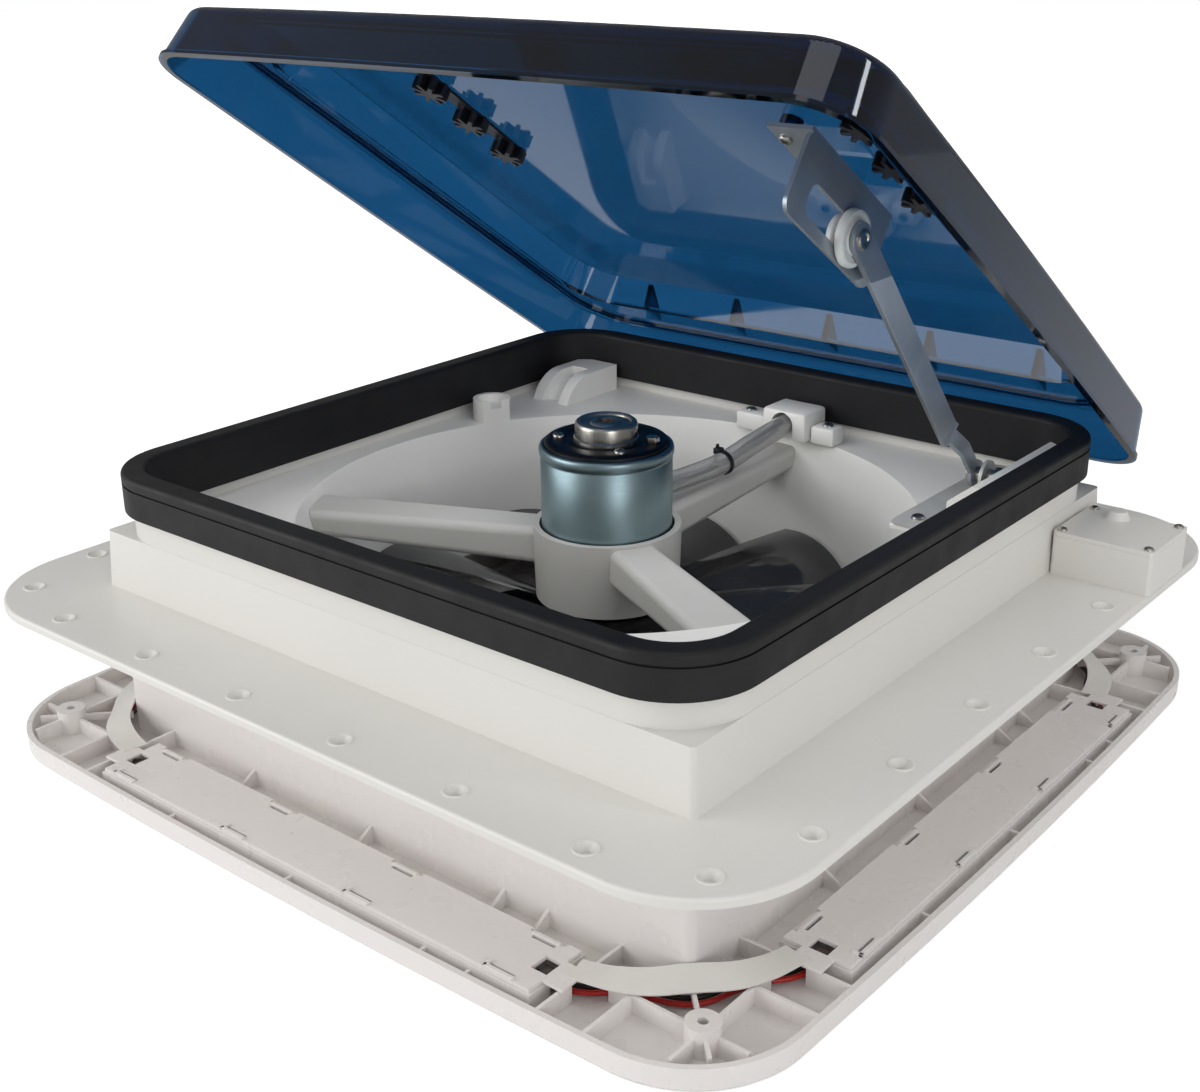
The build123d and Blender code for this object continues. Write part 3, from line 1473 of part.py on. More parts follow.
with BuildPart() as garnish:
    with BuildSketch(Plane.XY.offset(garnish_z)):
        add(bowed_outline(garnish_half, -garnish_half, garnish_half, garnish_bow, garnish_r))
    extrude(amount=garnish_rim_z - garnish_z)
    fillet(garnish.faces().sort_by(Axis.Z)[0].edges(), garnish_edge_r)
    with BuildSketch(Plane.XY.offset(floor_z)):
        add(bowed_outline(rim_inner, -rim_inner, rim_inner, garnish_bow, garnish_r - rim_wall))
    extrude(amount=garnish_rim_z - floor_z, mode=Mode.SUBTRACT)
    for turn in side_turns.values():
        with BuildSketch(Plane.XY.offset(floor_z)):
            with Locations(tray_place(turn)):
                Rectangle(tray_len, tray_w)
                Rectangle(tray_len - 2 * tray_wall, tray_w - 2 * tray_wall, mode=Mode.SUBTRACT)
                with GridLocations(tray_len, 0, 2, 1):
                    Rectangle(wire_gap, wire_gap, mode=Mode.SUBTRACT)
            for side in (-1, 1):
                with Locations(
                    Rot(0, 0, turn) * Pos(side * cross_rib_near, -(cross_rib_end + neck_half) / 2)
                ):
                    Rectangle(rib_t, cross_rib_end - neck_half)
                with Locations(
                    Rot(0, 0, turn) * Pos(side * cross_rib_far, -(cross_rib_end + boss_at) / 2)
                ):
                    Rectangle(rib_t, cross_rib_end - boss_at)
                with Locations(
                    Rot(0, 0, turn) * Pos(side * (corner_rib_end + cross_rib_near) / 2, -boss_at)
                ):
                    Rectangle(corner_rib_end - cross_rib_near, rib_t)
        extrude(amount=garnish_rim_z - floor_z)
        with BuildSketch(Plane.XY.offset(floor_z)):
            for along in rib_lines:
                with Locations(Rot(0, 0, turn) * Pos(along, outer_rib_len / 2 - rim_inner)):
                    Rectangle(rib_t, outer_rib_len)
        extrude(amount=rib_h)
        with BuildSketch(Plane.XY.offset(garnish_z)):
            with Locations(tray_place(turn)):
                Rectangle(slot_len, slot_w)
        extrude(amount=face_t, mode=Mode.SUBTRACT)
        for along in rib_lines:
            with BuildSketch(brace_plane(turn, along)):
                with BuildLine():
                    Polyline(
                        (neck_half - neck_wall / 2, floor_z),
                        (tray_at - (tray_w - tray_wall) / 2, floor_z),
                        (neck_half, garnish_rim_z),
                        (neck_half - neck_wall / 2, garnish_rim_z),
                        close=True,
                    )
                make_face()
            extrude(amount=rib_t / 2, both=True)
    for turn in lead_turns:
        with BuildSketch(Plane.XY.offset(floor_z).rotated((0, 0, turn))):
            with BuildLine():
                FilletPolyline(*channel_points, radius=channel_radii)
            trace(line_width=channel_w)
        extrude(amount=garnish_rim_z - floor_z, mode=Mode.SUBTRACT)
    for turn in side_turns.values():
        with BuildSketch(Plane.XY.offset(garnish_rim_z - corner_tie_h)):
            with Locations(
                Rot(0, 0, turn)
                * Pos((corner_tie_out + neck_half) / 2, -(corner_tie_out + neck_half) / 2)
                * Rot(0, 0, -45)
            ):
                Rectangle((corner_tie_out - neck_half) * sqrt(2), rib_t)
        extrude(amount=corner_tie_h)
    with BuildSketch(Plane.XY.offset(floor_z)):
        with GridLocations(2 * boss_at, 2 * boss_at, 2, 2):
            Circle(boss_r)
    extrude(amount=boss_top_z - floor_z)
    with BuildSketch(Plane.XY.offset(garnish_z)):
        with GridLocations(2 * boss_at, 2 * boss_at, 2, 2):
            Circle(boss_bore_r)
    extrude(amount=boss_top_z - garnish_z, mode=Mode.SUBTRACT)
    with BuildSketch(Plane.XY.offset(floor_z)):
        RectangleRounded(2 * neck_half, 2 * neck_half, neck_r)
    extrude(amount=neck_top_z - floor_z)
    with BuildSketch(Plane.XY.offset(garnish_z)):
        RectangleRounded(2 * (neck_half - neck_wall), 2 * (neck_half - neck_wall), neck_r - neck_wall)
    extrude(amount=neck_top_z - garnish_z, mode=Mode.SUBTRACT)
    with BuildSketch(Plane.XY.offset(screen_ledge_z)):
        RectangleRounded(2 * neck_half - neck_wall, 2 * neck_half - neck_wall, neck_r - neck_wall)
        Rectangle(2 * screen_ledge_half, 2 * screen_ledge_half, mode=Mode.SUBTRACT)
    extrude(amount=screen_ledge_t)
garnish.part.label = "garnish"
export_step(garnish.part, "parts/garnish.step")

# Light strips in the four trays: milky window, board and clipped cover
window_t = 1.4
window_lip = 2.0
board_w = 9.0
board_t = 1.6
led_cover_len = 268.0
led_cover_w = 30.0
led_cover_r = 3.0
led_cover_t = 2.0
clip_tab_w = 9.0
clip_tab_far = 94.0
clip_tab_near = 30.0
cover_notch_len = 16.0


def led_window(turn):
    """Milky window flush in the floor of one tray, with a lip inside."""
    with BuildPart() as window:
        with BuildSketch(Plane.XY.offset(garnish_z)):
            with Locations(tray_place(turn)):
                Rectangle(slot_len - 2 * seat_gap, slot_w - 2 * seat_gap)
        extrude(amount=face_t)
        with BuildSketch(Plane.XY.offset(floor_z)):
            with Locations(tray_place(turn)):
                Rectangle(slot_len + 2 * window_lip, slot_w + 2 * window_lip)
        extrude(amount=window_t)
    return window.part


def led_board(turn):
    """Circuit board of one light strip, on its window."""
    with BuildPart() as board:
        with BuildSketch(Plane.XY.offset(floor_z + window_t)):
            with Locations(tray_place(turn)):
                Rectangle(board_len, board_w)
        extrude(amount=board_t)
    return board.part


def led_cover(turn):
    """Long cover over one tray, with tabs that clip over its walls."""
    with BuildPart() as cover:
        with BuildSketch(Plane.XY.offset(garnish_rim_z)):
            with Locations(tray_place(turn)):
                RectangleRounded(led_cover_len, led_cover_w, led_cover_r)
                with GridLocations(led_cover_len, 0, 2, 1):
                    Rectangle(cover_notch_len, wire_gap, mode=Mode.SUBTRACT)
                with GridLocations(2 * clip_tab_far, 0, 2, 1):
                    Rectangle(clip_tab_w, tray_w)
                with GridLocations(2 * clip_tab_near, 0, 2, 1):
                    Rectangle(clip_tab_w, tray_w)
        extrude(amount=led_cover_t)
    return cover.part


for side_name, turn in side_turns.items():
    for kind, make in (("diffuser", led_window), ("board", led_board), ("cover", led_cover)):
        piece = make(turn)
        piece.label = f"led_{kind}_{side_name}"
        export_step(piece, f"parts/led_{kind}_{side_name}.step")

# Lamp leads round three corners, a red and a black one, and a ribbon on edge over them
lead_z = floor_z + window_t + lead_r + fit_gap
ribbon_h = 8.5
ribbon_t = 0.8
ribbon_bend_r = 14.0
ribbon_insets = [(95.5, 30.5), (67.0, 34.0), (34.0, 67.0), (30.5, 95.5)]
ribbon_points = [(garnish_half - across, along - garnish_half) for across, along in ribbon_insets]


def corner_leads(shift):
    """The lead of one colour at each of the three corners, moved inwards by a shift."""
    route = [(*point, lead_z) for point in lead_line(shift)]
    radii = bend_radii(route)
    print("lead bend radii", [round(radius, 1) for radius in radii])
    with BuildPart() as single:
        with BuildLine() as line:
            FilletPolyline(*route, radius=radii)
        with BuildSketch(Plane(origin=line.line @ 0, z_dir=line.line % 0)):
            Circle(lead_r)
        sweep(path=line.line)
    with BuildPart() as leads:
        for turn in lead_turns:
            add(single.part, rotation=(0, 0, turn))
    return leads.part


leads_red = corner_leads(0)
leads_red.label = "leads_red"
export_step(leads_red, "parts/leads_red.step")
leads_black = corner_leads(lead_pitch)
leads_black.label = "leads_black"
export_step(leads_black, "parts/leads_black.step")

with BuildPart() as corner_ribbons:
    for turn in lead_turns:
        with BuildSketch(Plane.XY.offset(garnish_rim_z).rotated((0, 0, turn))):
            with BuildLine():
                FilletPolyline(*ribbon_points, radius=ribbon_bend_r)
            trace(line_width=ribbon_t)
        extrude(amount=ribbon_h)
corner_ribbons.part.label = "corner_ribbons"
export_step(corner_ribbons.part, "parts/corner_ribbons.step")

# Fly screen in its frame, held under the neck's ledge
screen_half = 172.6
screen_r = 9.0
screen_frame_t = 3.6
screen_mouth_r = 152.0
mesh_t = 0.6
mesh_seat = 4.0
with BuildPart() as screen_frame:
    with BuildSketch(Plane.XY.offset(screen_ledge_z)):
        RectangleRounded(2 * screen_half, 2 * screen_half, screen_r)
        Circle(screen_mouth_r, mode=Mode.SUBTRACT)
    extrude(amount=-screen_frame_t)
    with BuildSketch(Plane.XY.offset(screen_ledge_z)):
        Circle(screen_mouth_r + mesh_seat + seat_gap)
    extrude(amount=-mesh_t, mode=Mode.SUBTRACT)
screen_frame.part.label = "screen_frame"
export_step(screen_frame.part, "parts/screen_frame.step")

with BuildPart() as screen_mesh:
    with BuildSketch(Plane.XY.offset(screen_ledge_z - mesh_t)):
        Circle(screen_mouth_r + mesh_seat)
    extrude(amount=mesh_t)
screen_mesh.part.label = "screen_mesh"
export_step(screen_mesh.part, "parts/screen_mesh.step")
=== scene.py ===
# %% [markdown]
# # A caravan roof vent, dressed and lit
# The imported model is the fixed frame: every plate, gear and hinge already has its real size
# and place. This file adds what a drawing can't show, which is moulded plastic with its fine
# grain, tinted lid, rubber, zinc, wire and screws. The frame is loaded first, because every
# later piece takes its place from it.

# %% Load the frame
import json
import math

import bpy
from mathutils import Matrix, Vector

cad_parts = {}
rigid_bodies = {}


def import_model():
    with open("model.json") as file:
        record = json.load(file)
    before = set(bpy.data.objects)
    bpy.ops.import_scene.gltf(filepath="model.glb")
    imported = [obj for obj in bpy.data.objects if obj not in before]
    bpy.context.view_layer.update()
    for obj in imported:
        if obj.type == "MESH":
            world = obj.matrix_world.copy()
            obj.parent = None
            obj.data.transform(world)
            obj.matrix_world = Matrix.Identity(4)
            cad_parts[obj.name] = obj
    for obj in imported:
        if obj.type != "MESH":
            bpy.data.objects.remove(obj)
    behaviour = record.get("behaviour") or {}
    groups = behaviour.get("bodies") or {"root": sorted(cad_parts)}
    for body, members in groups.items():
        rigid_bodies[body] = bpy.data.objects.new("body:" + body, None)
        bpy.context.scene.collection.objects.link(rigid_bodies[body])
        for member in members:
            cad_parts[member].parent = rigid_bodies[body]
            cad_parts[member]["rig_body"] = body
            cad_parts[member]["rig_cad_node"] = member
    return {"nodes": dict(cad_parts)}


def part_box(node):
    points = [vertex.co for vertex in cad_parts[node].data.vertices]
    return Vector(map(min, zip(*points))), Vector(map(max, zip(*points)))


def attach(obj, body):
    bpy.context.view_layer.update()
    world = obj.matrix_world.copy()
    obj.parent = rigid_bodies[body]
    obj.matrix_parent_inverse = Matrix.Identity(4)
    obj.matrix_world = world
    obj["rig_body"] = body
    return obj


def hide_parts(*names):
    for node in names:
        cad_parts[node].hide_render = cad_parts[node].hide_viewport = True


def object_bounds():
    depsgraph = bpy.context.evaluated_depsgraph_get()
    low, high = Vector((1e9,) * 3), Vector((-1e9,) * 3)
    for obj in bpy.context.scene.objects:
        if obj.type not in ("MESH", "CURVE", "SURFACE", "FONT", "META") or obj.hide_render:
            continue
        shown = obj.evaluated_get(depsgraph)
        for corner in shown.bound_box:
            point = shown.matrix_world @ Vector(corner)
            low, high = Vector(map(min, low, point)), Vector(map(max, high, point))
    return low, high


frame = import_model()
nodes = frame["nodes"]
cad_low, cad_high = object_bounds()
MM = 0.001
print("nodes:", len(nodes))
print("box:", [round(v, 3) for v in cad_low], [round(v, 3) for v in cad_high])

# %% [markdown]
# ## Camera
# The photograph was taken from above the front right corner. Its direction and lens were
# worked out from the square flange, whose screw holes stand at even steps, so the camera is
# given as a place and three directions instead of being aimed by eye.

# %% Place the camera
camera_place = Vector((0.4704, -0.5849, 0.3106))
camera_right = Vector((0.77427, 0.63279, -0.00929))
camera_up = Vector((-0.22751, 0.29202, 0.92896))
camera_back = camera_right.cross(camera_up)

camera_data = bpy.data.cameras.new("camera")
camera_data.lens = 48.03
camera_data.sensor_width = 36.0
camera = bpy.data.objects.new("camera", camera_data)
bpy.context.scene.collection.objects.link(camera)
turn = Matrix((camera_right, camera_up, camera_back)).transposed().to_4x4()
camera.matrix_world = Matrix.Translation(camera_place) @ turn
bpy.context.scene.camera = camera
print("camera looks along", [round(v, 3) for v in -camera_back])

# %% [markdown]
# ## Working by hand, in code
# Blender's operators act on whatever is selected, and the frame comes in selected. So each
# step starts by clearing the selection and picking one object, and these small helpers do
# that. A finished piece keeps its place in its mesh, with its object at the origin, so that a
# pattern made from object coordinates stays where it is.

# %% Helpers for selecting and finishing
def pick(piece):
    """Make one object the only selected and active one."""
    bpy.ops.object.select_all(action="DESELECT")
    piece.select_set(True)
    bpy.context.view_layer.objects.active = piece
    return piece


def edit(piece, mode="FACE"):
    """Go into edit mode on one object with nothing selected."""
    pick(piece)
    bpy.ops.object.mode_set(mode="EDIT")
    bpy.ops.mesh.select_mode(type=mode)
    bpy.ops.mesh.select_all(action="DESELECT")


def done():
    """Leave edit mode."""
    bpy.ops.object.mode_set(mode="OBJECT")


def apply_place(piece):
    """Put the object's place into its mesh, so that its patterns stay still."""
    pick(piece)
    bpy.ops.object.transform_apply(location=True, rotation=True, scale=True)
    return piece


def add_modifier(piece, kind, **values):
    """Add a modifier with these values and apply it at once."""
    pick(piece)
    step = piece.modifiers.new(kind.lower(), kind)
    for key, value in values.items():
        setattr(step, key, value)
    bpy.ops.object.modifier_apply(modifier=step.name)
    return piece


def smooth(piece, angle=32.0):
    """Smooth shading, with edges sharper than the angle kept crisp."""
    pick(piece)
    bpy.ops.object.shade_smooth_by_angle(angle=math.radians(angle))
    return piece


def copy_of(master, name):
    """A copy of a piece with its own mesh."""
    piece = master.copy()
    piece.data = master.data.copy()
    piece.name = name
    bpy.context.scene.collection.objects.link(piece)
    return piece


print("helpers for selecting and finishing are ready")

# %% [markdown]
# ## From a CAD node to a skin
# A CAD node's mesh is loose triangles, and it must stay as it is. A bevel or smooth shading
# needs a joined surface, so a copy is welded, and its flat faces are dissolved into large ones.
# The copy then takes the node's place and rides on the same body, so it moves as the node does.

# %% Helpers that dress a node
weld_distance = 0.000004
flat_angle = math.radians(0.4)


def skin_of(node, name):
    """A copy of a CAD node with its loose triangles joined into one skin."""
    skin = copy_of(nodes[node], name)
    skin.parent = None
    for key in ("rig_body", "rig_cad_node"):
        del skin[key]
    pick(skin)
    if skin.data.has_custom_normals:
        bpy.ops.mesh.customdata_custom_splitnormals_clear()
    edit(skin, "VERT")
    bpy.ops.mesh.select_all(action="SELECT")
    bpy.ops.mesh.remove_doubles(threshold=weld_distance)
    bpy.ops.mesh.dissolve_limited(angle_limit=flat_angle)
    done()
    skin.data.materials.clear()
    return skin


def body_of(node):
    """The name of the body that a CAD node rides on."""
    return nodes[node]["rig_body"]


def stands_for(piece, node, material):
    """The piece takes a node's place, finish and motion."""
    piece.data.materials.clear()
    piece.data.materials.append(material)
    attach(piece, body_of(node))
    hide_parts(node)
    return piece


def rides_with(piece, node, material):
    """The piece is a detail beside a node, and moves with its body."""
    piece.data.materials.clear()
    piece.data.materials.append(material)
    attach(piece, body_of(node))
    return piece


def dressed(node, name, material, edge=0.0, angle=32.0):
    """A joined copy of a node with a small worn edge, in the node's place."""
    piece = skin_of(node, name)
    if edge:
        add_modifier(piece, "BEVEL", width=edge * MM, segments=2, limit_method="ANGLE",
                     angle_limit=math.radians(angle), use_clamp_overlap=True)
    smooth(piece, angle + 4)
    add_modifier(piece, "WEIGHTED_NORMAL", keep_sharp=True)
    return stands_for(piece, node, material)


print("helpers that dress a node are ready")

# %% [markdown]
# ## Turned shapes
# The motor, its cap, the roller and the screw heads are all turned on a lathe, so they are
# made as one is: an outline of radius and height is drawn by extruding a point, and then spun
# round an upright line. The last step stands the finished turning at its place.

# %% Helpers for turned shapes
pole_weld = 0.000002


def lathe(name, outline, steps=72):
    """Spin an outline of (radius, height) in millimetres round the upright line at the origin."""
    bpy.ops.object.select_all(action="DESELECT")
    bpy.ops.mesh.primitive_plane_add(size=MM, location=(0, 0, 0))
    piece = bpy.context.object
    piece.name = name
    bpy.ops.object.mode_set(mode="EDIT")
    bpy.ops.mesh.select_mode(type="VERT")
    bpy.ops.mesh.select_all(action="SELECT")
    bpy.ops.mesh.merge(type="CENTER")
    bpy.ops.mesh.select_all(action="SELECT")
    bpy.ops.transform.translate(value=(outline[0][0] * MM, 0, outline[0][1] * MM))
    for before, after in zip(outline, outline[1:]):
        step = ((after[0] - before[0]) * MM, 0, (after[1] - before[1]) * MM)
        bpy.ops.mesh.extrude_region_move(TRANSFORM_OT_translate={"value": step})
    bpy.ops.mesh.select_all(action="SELECT")
    bpy.ops.mesh.spin(steps=steps, angle=2 * math.pi, center=(0, 0, 0), axis=(0, 0, 1))
    bpy.ops.mesh.select_all(action="SELECT")
    bpy.ops.mesh.remove_doubles(threshold=pole_weld)
    bpy.ops.mesh.normals_make_consistent(inside=False)
    done()
    return piece


def stand(piece, place, up=(0, 0, 1), size=1.0):
    """Put a piece made at the origin at its place, with its upright line along up."""
    turn = Vector((0, 0, 1)).rotation_difference(Vector(up).normalized()).to_matrix().to_4x4()
    piece.matrix_world = Matrix.Translation(Vector(place) * MM) @ turn @ Matrix.Scale(size, 4)
    return apply_place(piece)


print("helpers for turned shapes are ready")


# %% [markdown]
# ## Blocks and cuts
# Small mouldings such as an arch, a hook or a plug are blocks with softened edges. Openings are
# cut with a second shape and the exact boolean, which keeps the cut's edge crisp.

# %% Helpers for blocks and cuts
def joined(name, pieces):
    """Join several pieces into one mesh."""
    bpy.ops.object.select_all(action="DESELECT")
    for piece in pieces:
        piece.select_set(True)
    bpy.context.view_layer.objects.active = pieces[0]
    bpy.ops.object.join()
    pieces[0].name = name
    return pieces[0]


def block(name, low, high, edge=0.0):
    """A block between two corners in millimetres, with softened edges."""
    bpy.ops.object.select_all(action="DESELECT")
    middle = [(a + b) / 2 * MM for a, b in zip(low, high)]
    bpy.ops.mesh.primitive_cube_add(size=1.0, location=middle)
    piece = bpy.context.object
    piece.name = name
    piece.scale = [(b - a) * MM for a, b in zip(low, high)]
    apply_place(piece)
    if edge:
        add_modifier(piece, "BEVEL", width=edge * MM, segments=2)
    return piece


def cut_away(piece, cutter):
    """Take a cutter's shape out of a piece."""
    pick(piece)
    step = piece.modifiers.new("cut", "BOOLEAN")
    step.operation = "DIFFERENCE"
    step.solver = "EXACT"
    step.object = cutter
    bpy.ops.object.modifier_apply(modifier=step.name)
    bpy.data.objects.remove(cutter)
    return piece


print("helpers for blocks and cuts are ready")


# %% [markdown]
# ## Cords, tubes and strips
# A cord or a tube is a smooth line near a few points, with a round section. The same line with
# a width and no thickness is a strip, and the tilt at each point turns it about its own length.

# %% Helpers for lines
def line_through(name, points, radius, flat=0.0, tilts=None):
    """A smooth curve near points in millimetres, round or, with flat, a strip."""
    data = bpy.data.curves.new(name, "CURVE")
    data.dimensions = "3D"
    data.resolution_u = 8
    data.bevel_depth = radius * MM
    data.bevel_resolution = 5
    data.extrude = flat * MM
    data.use_fill_caps = True
    data.twist_mode = "Z_UP"
    spline = data.splines.new("NURBS")
    spline.points.add(len(points) - 1)
    for place, point in zip(spline.points, points):
        place.co = (point[0] * MM, point[1] * MM, point[2] * MM, 1)
    for place, tilt in zip(spline.points, tilts or []):
        place.tilt = math.radians(tilt)
    spline.order_u = 3
    spline.use_endpoint_u = True
    piece = bpy.data.objects.new(name, data)
    bpy.context.scene.collection.objects.link(piece)
    return piece


def as_mesh(piece):
    """Turn a curve into a mesh, by its own name."""
    pick(piece)
    bpy.ops.object.convert(target="MESH")
    return bpy.context.object


print("helpers for lines are ready")

# %% [markdown]
# ## Moulded plastic
# Nearly every part here is injection moulded. The mould's spark-eroded steel leaves a fine
# grain, which spreads the highlights, and the tone drifts a little over a large wall. One
# node group makes both from the object's own coordinates, and each plastic uses it with its
# own colours, so that they look like one family.

# %% Node group for a moulded skin
def group_socket(group, name, side, kind, value=None):
    """Add one named socket to a node group."""
    socket = group.interface.new_socket(name=name, in_out=side, socket_type=kind)
    if value is not None:
        socket.default_value = value
    return socket


def build_moulded_skin():
    """Colour drift, roughness drift and a fine grain for moulded parts."""
    group = bpy.data.node_groups.new("moulded_skin", "ShaderNodeTree")
    group_socket(group, "Colour", "INPUT", "NodeSocketColor", (0.8, 0.8, 0.8, 1))
    group_socket(group, "Drift Colour", "INPUT", "NodeSocketColor", (0.7, 0.7, 0.7, 1))
    group_socket(group, "Drift Size", "INPUT", "NodeSocketFloat", 9.0)
    group_socket(group, "Smooth Roughness", "INPUT", "NodeSocketFloat", 0.3)
    group_socket(group, "Dull Roughness", "INPUT", "NodeSocketFloat", 0.45)
    group_socket(group, "Grain Size", "INPUT", "NodeSocketFloat", 1500.0)
    group_socket(group, "Grain Depth", "INPUT", "NodeSocketFloat", 0.1)
    group_socket(group, "Colour", "OUTPUT", "NodeSocketColor")
    group_socket(group, "Roughness", "OUTPUT", "NodeSocketFloat")
    group_socket(group, "Normal", "OUTPUT", "NodeSocketVector")
    n, link = group.nodes, group.links.new
    given = n.new("NodeGroupInput")
    result = n.new("NodeGroupOutput")
    place = n.new("ShaderNodeTexCoord")
    drift = n.new("ShaderNodeTexNoise")
    drift.inputs["Detail"].default_value = 5.0
    link(place.outputs["Object"], drift.inputs["Vector"])
    link(given.outputs["Drift Size"], drift.inputs["Scale"])
    spread = n.new("ShaderNodeMapRange")
    spread.inputs["From Min"].default_value = 0.22
    spread.inputs["From Max"].default_value = 0.78
    link(drift.outputs["Fac"], spread.inputs["Value"])
    mix = n.new("ShaderNodeMix")
    mix.data_type = "RGBA"
    link(spread.outputs["Result"], mix.inputs["Factor"])
    link(given.outputs["Colour"], mix.inputs["A"])
    link(given.outputs["Drift Colour"], mix.inputs["B"])
    link(mix.outputs["Result"], result.inputs["Colour"])
    smear = n.new("ShaderNodeTexNoise")
    smear.inputs["Scale"].default_value = 55.0
    smear.inputs["Detail"].default_value = 3.0
    link(place.outputs["Object"], smear.inputs["Vector"])
    dull = n.new("ShaderNodeMapRange")
    dull.inputs["From Min"].default_value = 0.3
    dull.inputs["From Max"].default_value = 0.7
    link(smear.outputs["Fac"], dull.inputs["Value"])
    link(given.outputs["Smooth Roughness"], dull.inputs["To Min"])
    link(given.outputs["Dull Roughness"], dull.inputs["To Max"])
    link(dull.outputs["Result"], result.inputs["Roughness"])
    grain = n.new("ShaderNodeTexNoise")
    grain.inputs["Detail"].default_value = 2.0
    link(place.outputs["Object"], grain.inputs["Vector"])
    link(given.outputs["Grain Size"], grain.inputs["Scale"])
    bump = n.new("ShaderNodeBump")
    bump.inputs["Distance"].default_value = 0.0002
    link(given.outputs["Grain Depth"], bump.inputs["Strength"])
    link(grain.outputs["Fac"], bump.inputs["Height"])
    link(bump.outputs["Normal"], result.inputs["Normal"])
    return group


moulded_skin = build_moulded_skin()
print("moulded skin nodes:", len(moulded_skin.nodes))


# %% [markdown]
# ## The plastics
# A colour is written here as it looks on a screen, from 0 to 255, and changed to the linear
# value that a shader works in. Each plastic then gets two near tones to drift between and a
# range of roughness. Rubber has a coarser grain and less shine than the hard plastics.

# %% Plastics
def srgb(red, green, blue):
    """A colour read as 0 to 255 on a screen, as the linear value that a shader takes."""
    def line(v):
        v = v / 255.0
        return v / 12.92 if v <= 0.04045 else ((v + 0.055) / 1.055) ** 2.4
    return (line(red), line(green), line(blue), 1.0)


def moulded(name, colour, drift, rough=(0.3, 0.42), grain=(1500.0, 0.1), size=9.0, **sockets):
    """A material that wears the moulded skin with its own colours."""
    material = bpy.data.materials.new(name)
    material.use_nodes = True
    n, link = material.node_tree.nodes, material.node_tree.links.new
    shader = n["Principled BSDF"]
    skin = n.new("ShaderNodeGroup")
    skin.node_tree = moulded_skin
    skin.inputs["Colour"].default_value = colour
    skin.inputs["Drift Colour"].default_value = drift
    skin.inputs["Drift Size"].default_value = size
    skin.inputs["Smooth Roughness"].default_value = rough[0]
    skin.inputs["Dull Roughness"].default_value = rough[1]
    skin.inputs["Grain Size"].default_value = grain[0]
    skin.inputs["Grain Depth"].default_value = grain[1]
    link(skin.outputs["Colour"], shader.inputs["Base Color"])
    link(skin.outputs["Roughness"], shader.inputs["Roughness"])
    link(skin.outputs["Normal"], shader.inputs["Normal"])
    for key, value in sockets.items():
        shader.inputs[key.replace("_", " ")].default_value = value
    return material


white_case = moulded("white_case", srgb(225, 223, 218), srgb(221, 219, 214))
white_garnish = moulded("white_garnish", srgb(234, 230, 227), srgb(231, 226, 224),
                        rough=(0.24, 0.34))
pale_deck = moulded("pale_deck", srgb(234, 233, 229), srgb(230, 229, 225), rough=(0.34, 0.46))
spider_grey = moulded("spider_grey", srgb(197, 196, 192), srgb(191, 190, 186), rough=(0.34, 0.46))
black_clip = moulded("black_clip", srgb(16, 17, 22), srgb(22, 23, 28), rough=(0.3, 0.45))
nylon = moulded("nylon", srgb(222, 224, 222), srgb(210, 213, 212), rough=(0.3, 0.4),
                Subsurface_Weight=0.1)
milky = moulded("milky", srgb(238, 238, 236), srgb(232, 232, 230), Subsurface_Weight=0.2)
board_green = moulded("board_green", srgb(228, 230, 226), srgb(214, 218, 212), size=120.0)
ribbon_skin = moulded("ribbon_skin", srgb(234, 231, 226), srgb(224, 221, 216),
                      rough=(0.3, 0.4), size=40.0)
red_insulation = moulded("red_insulation", srgb(190, 32, 24), srgb(160, 22, 18),
                         rough=(0.25, 0.35), size=90.0)
black_insulation = moulded("black_insulation", srgb(24, 24, 26), srgb(36, 35, 36),
                           rough=(0.25, 0.35), size=90.0)
rubber = moulded("rubber", srgb(22, 22, 24), srgb(28, 28, 30), rough=(0.5, 0.66),
                 grain=(900.0, 0.16), size=14.0, Specular_IOR_Level=0.35)
silver_wire = moulded("silver_wire", srgb(206, 208, 210), srgb(186, 188, 190),
                      rough=(0.2, 0.3), size=90.0)
plug_brown = moulded("plug_brown", srgb(74, 56, 50), srgb(58, 46, 42), rough=(0.3, 0.4), size=90.0)
dark_wire = moulded("dark_wire", srgb(52, 54, 58), srgb(40, 41, 44), rough=(0.25, 0.35), size=90.0)
print("plastics:", len(bpy.data.materials))

# %% [markdown]
# ## Steel and zinc
# The arm and bracket are rolled sheet steel, and the motor can is drawn and zinc plated with
# a bluish tint. Rolling and turning leave fine lines, so the metal's roughness and height
# follow a noise that is stretched along one direction. The group has an input for that
# stretch, so that a turned cap and a rolled strip can share it.

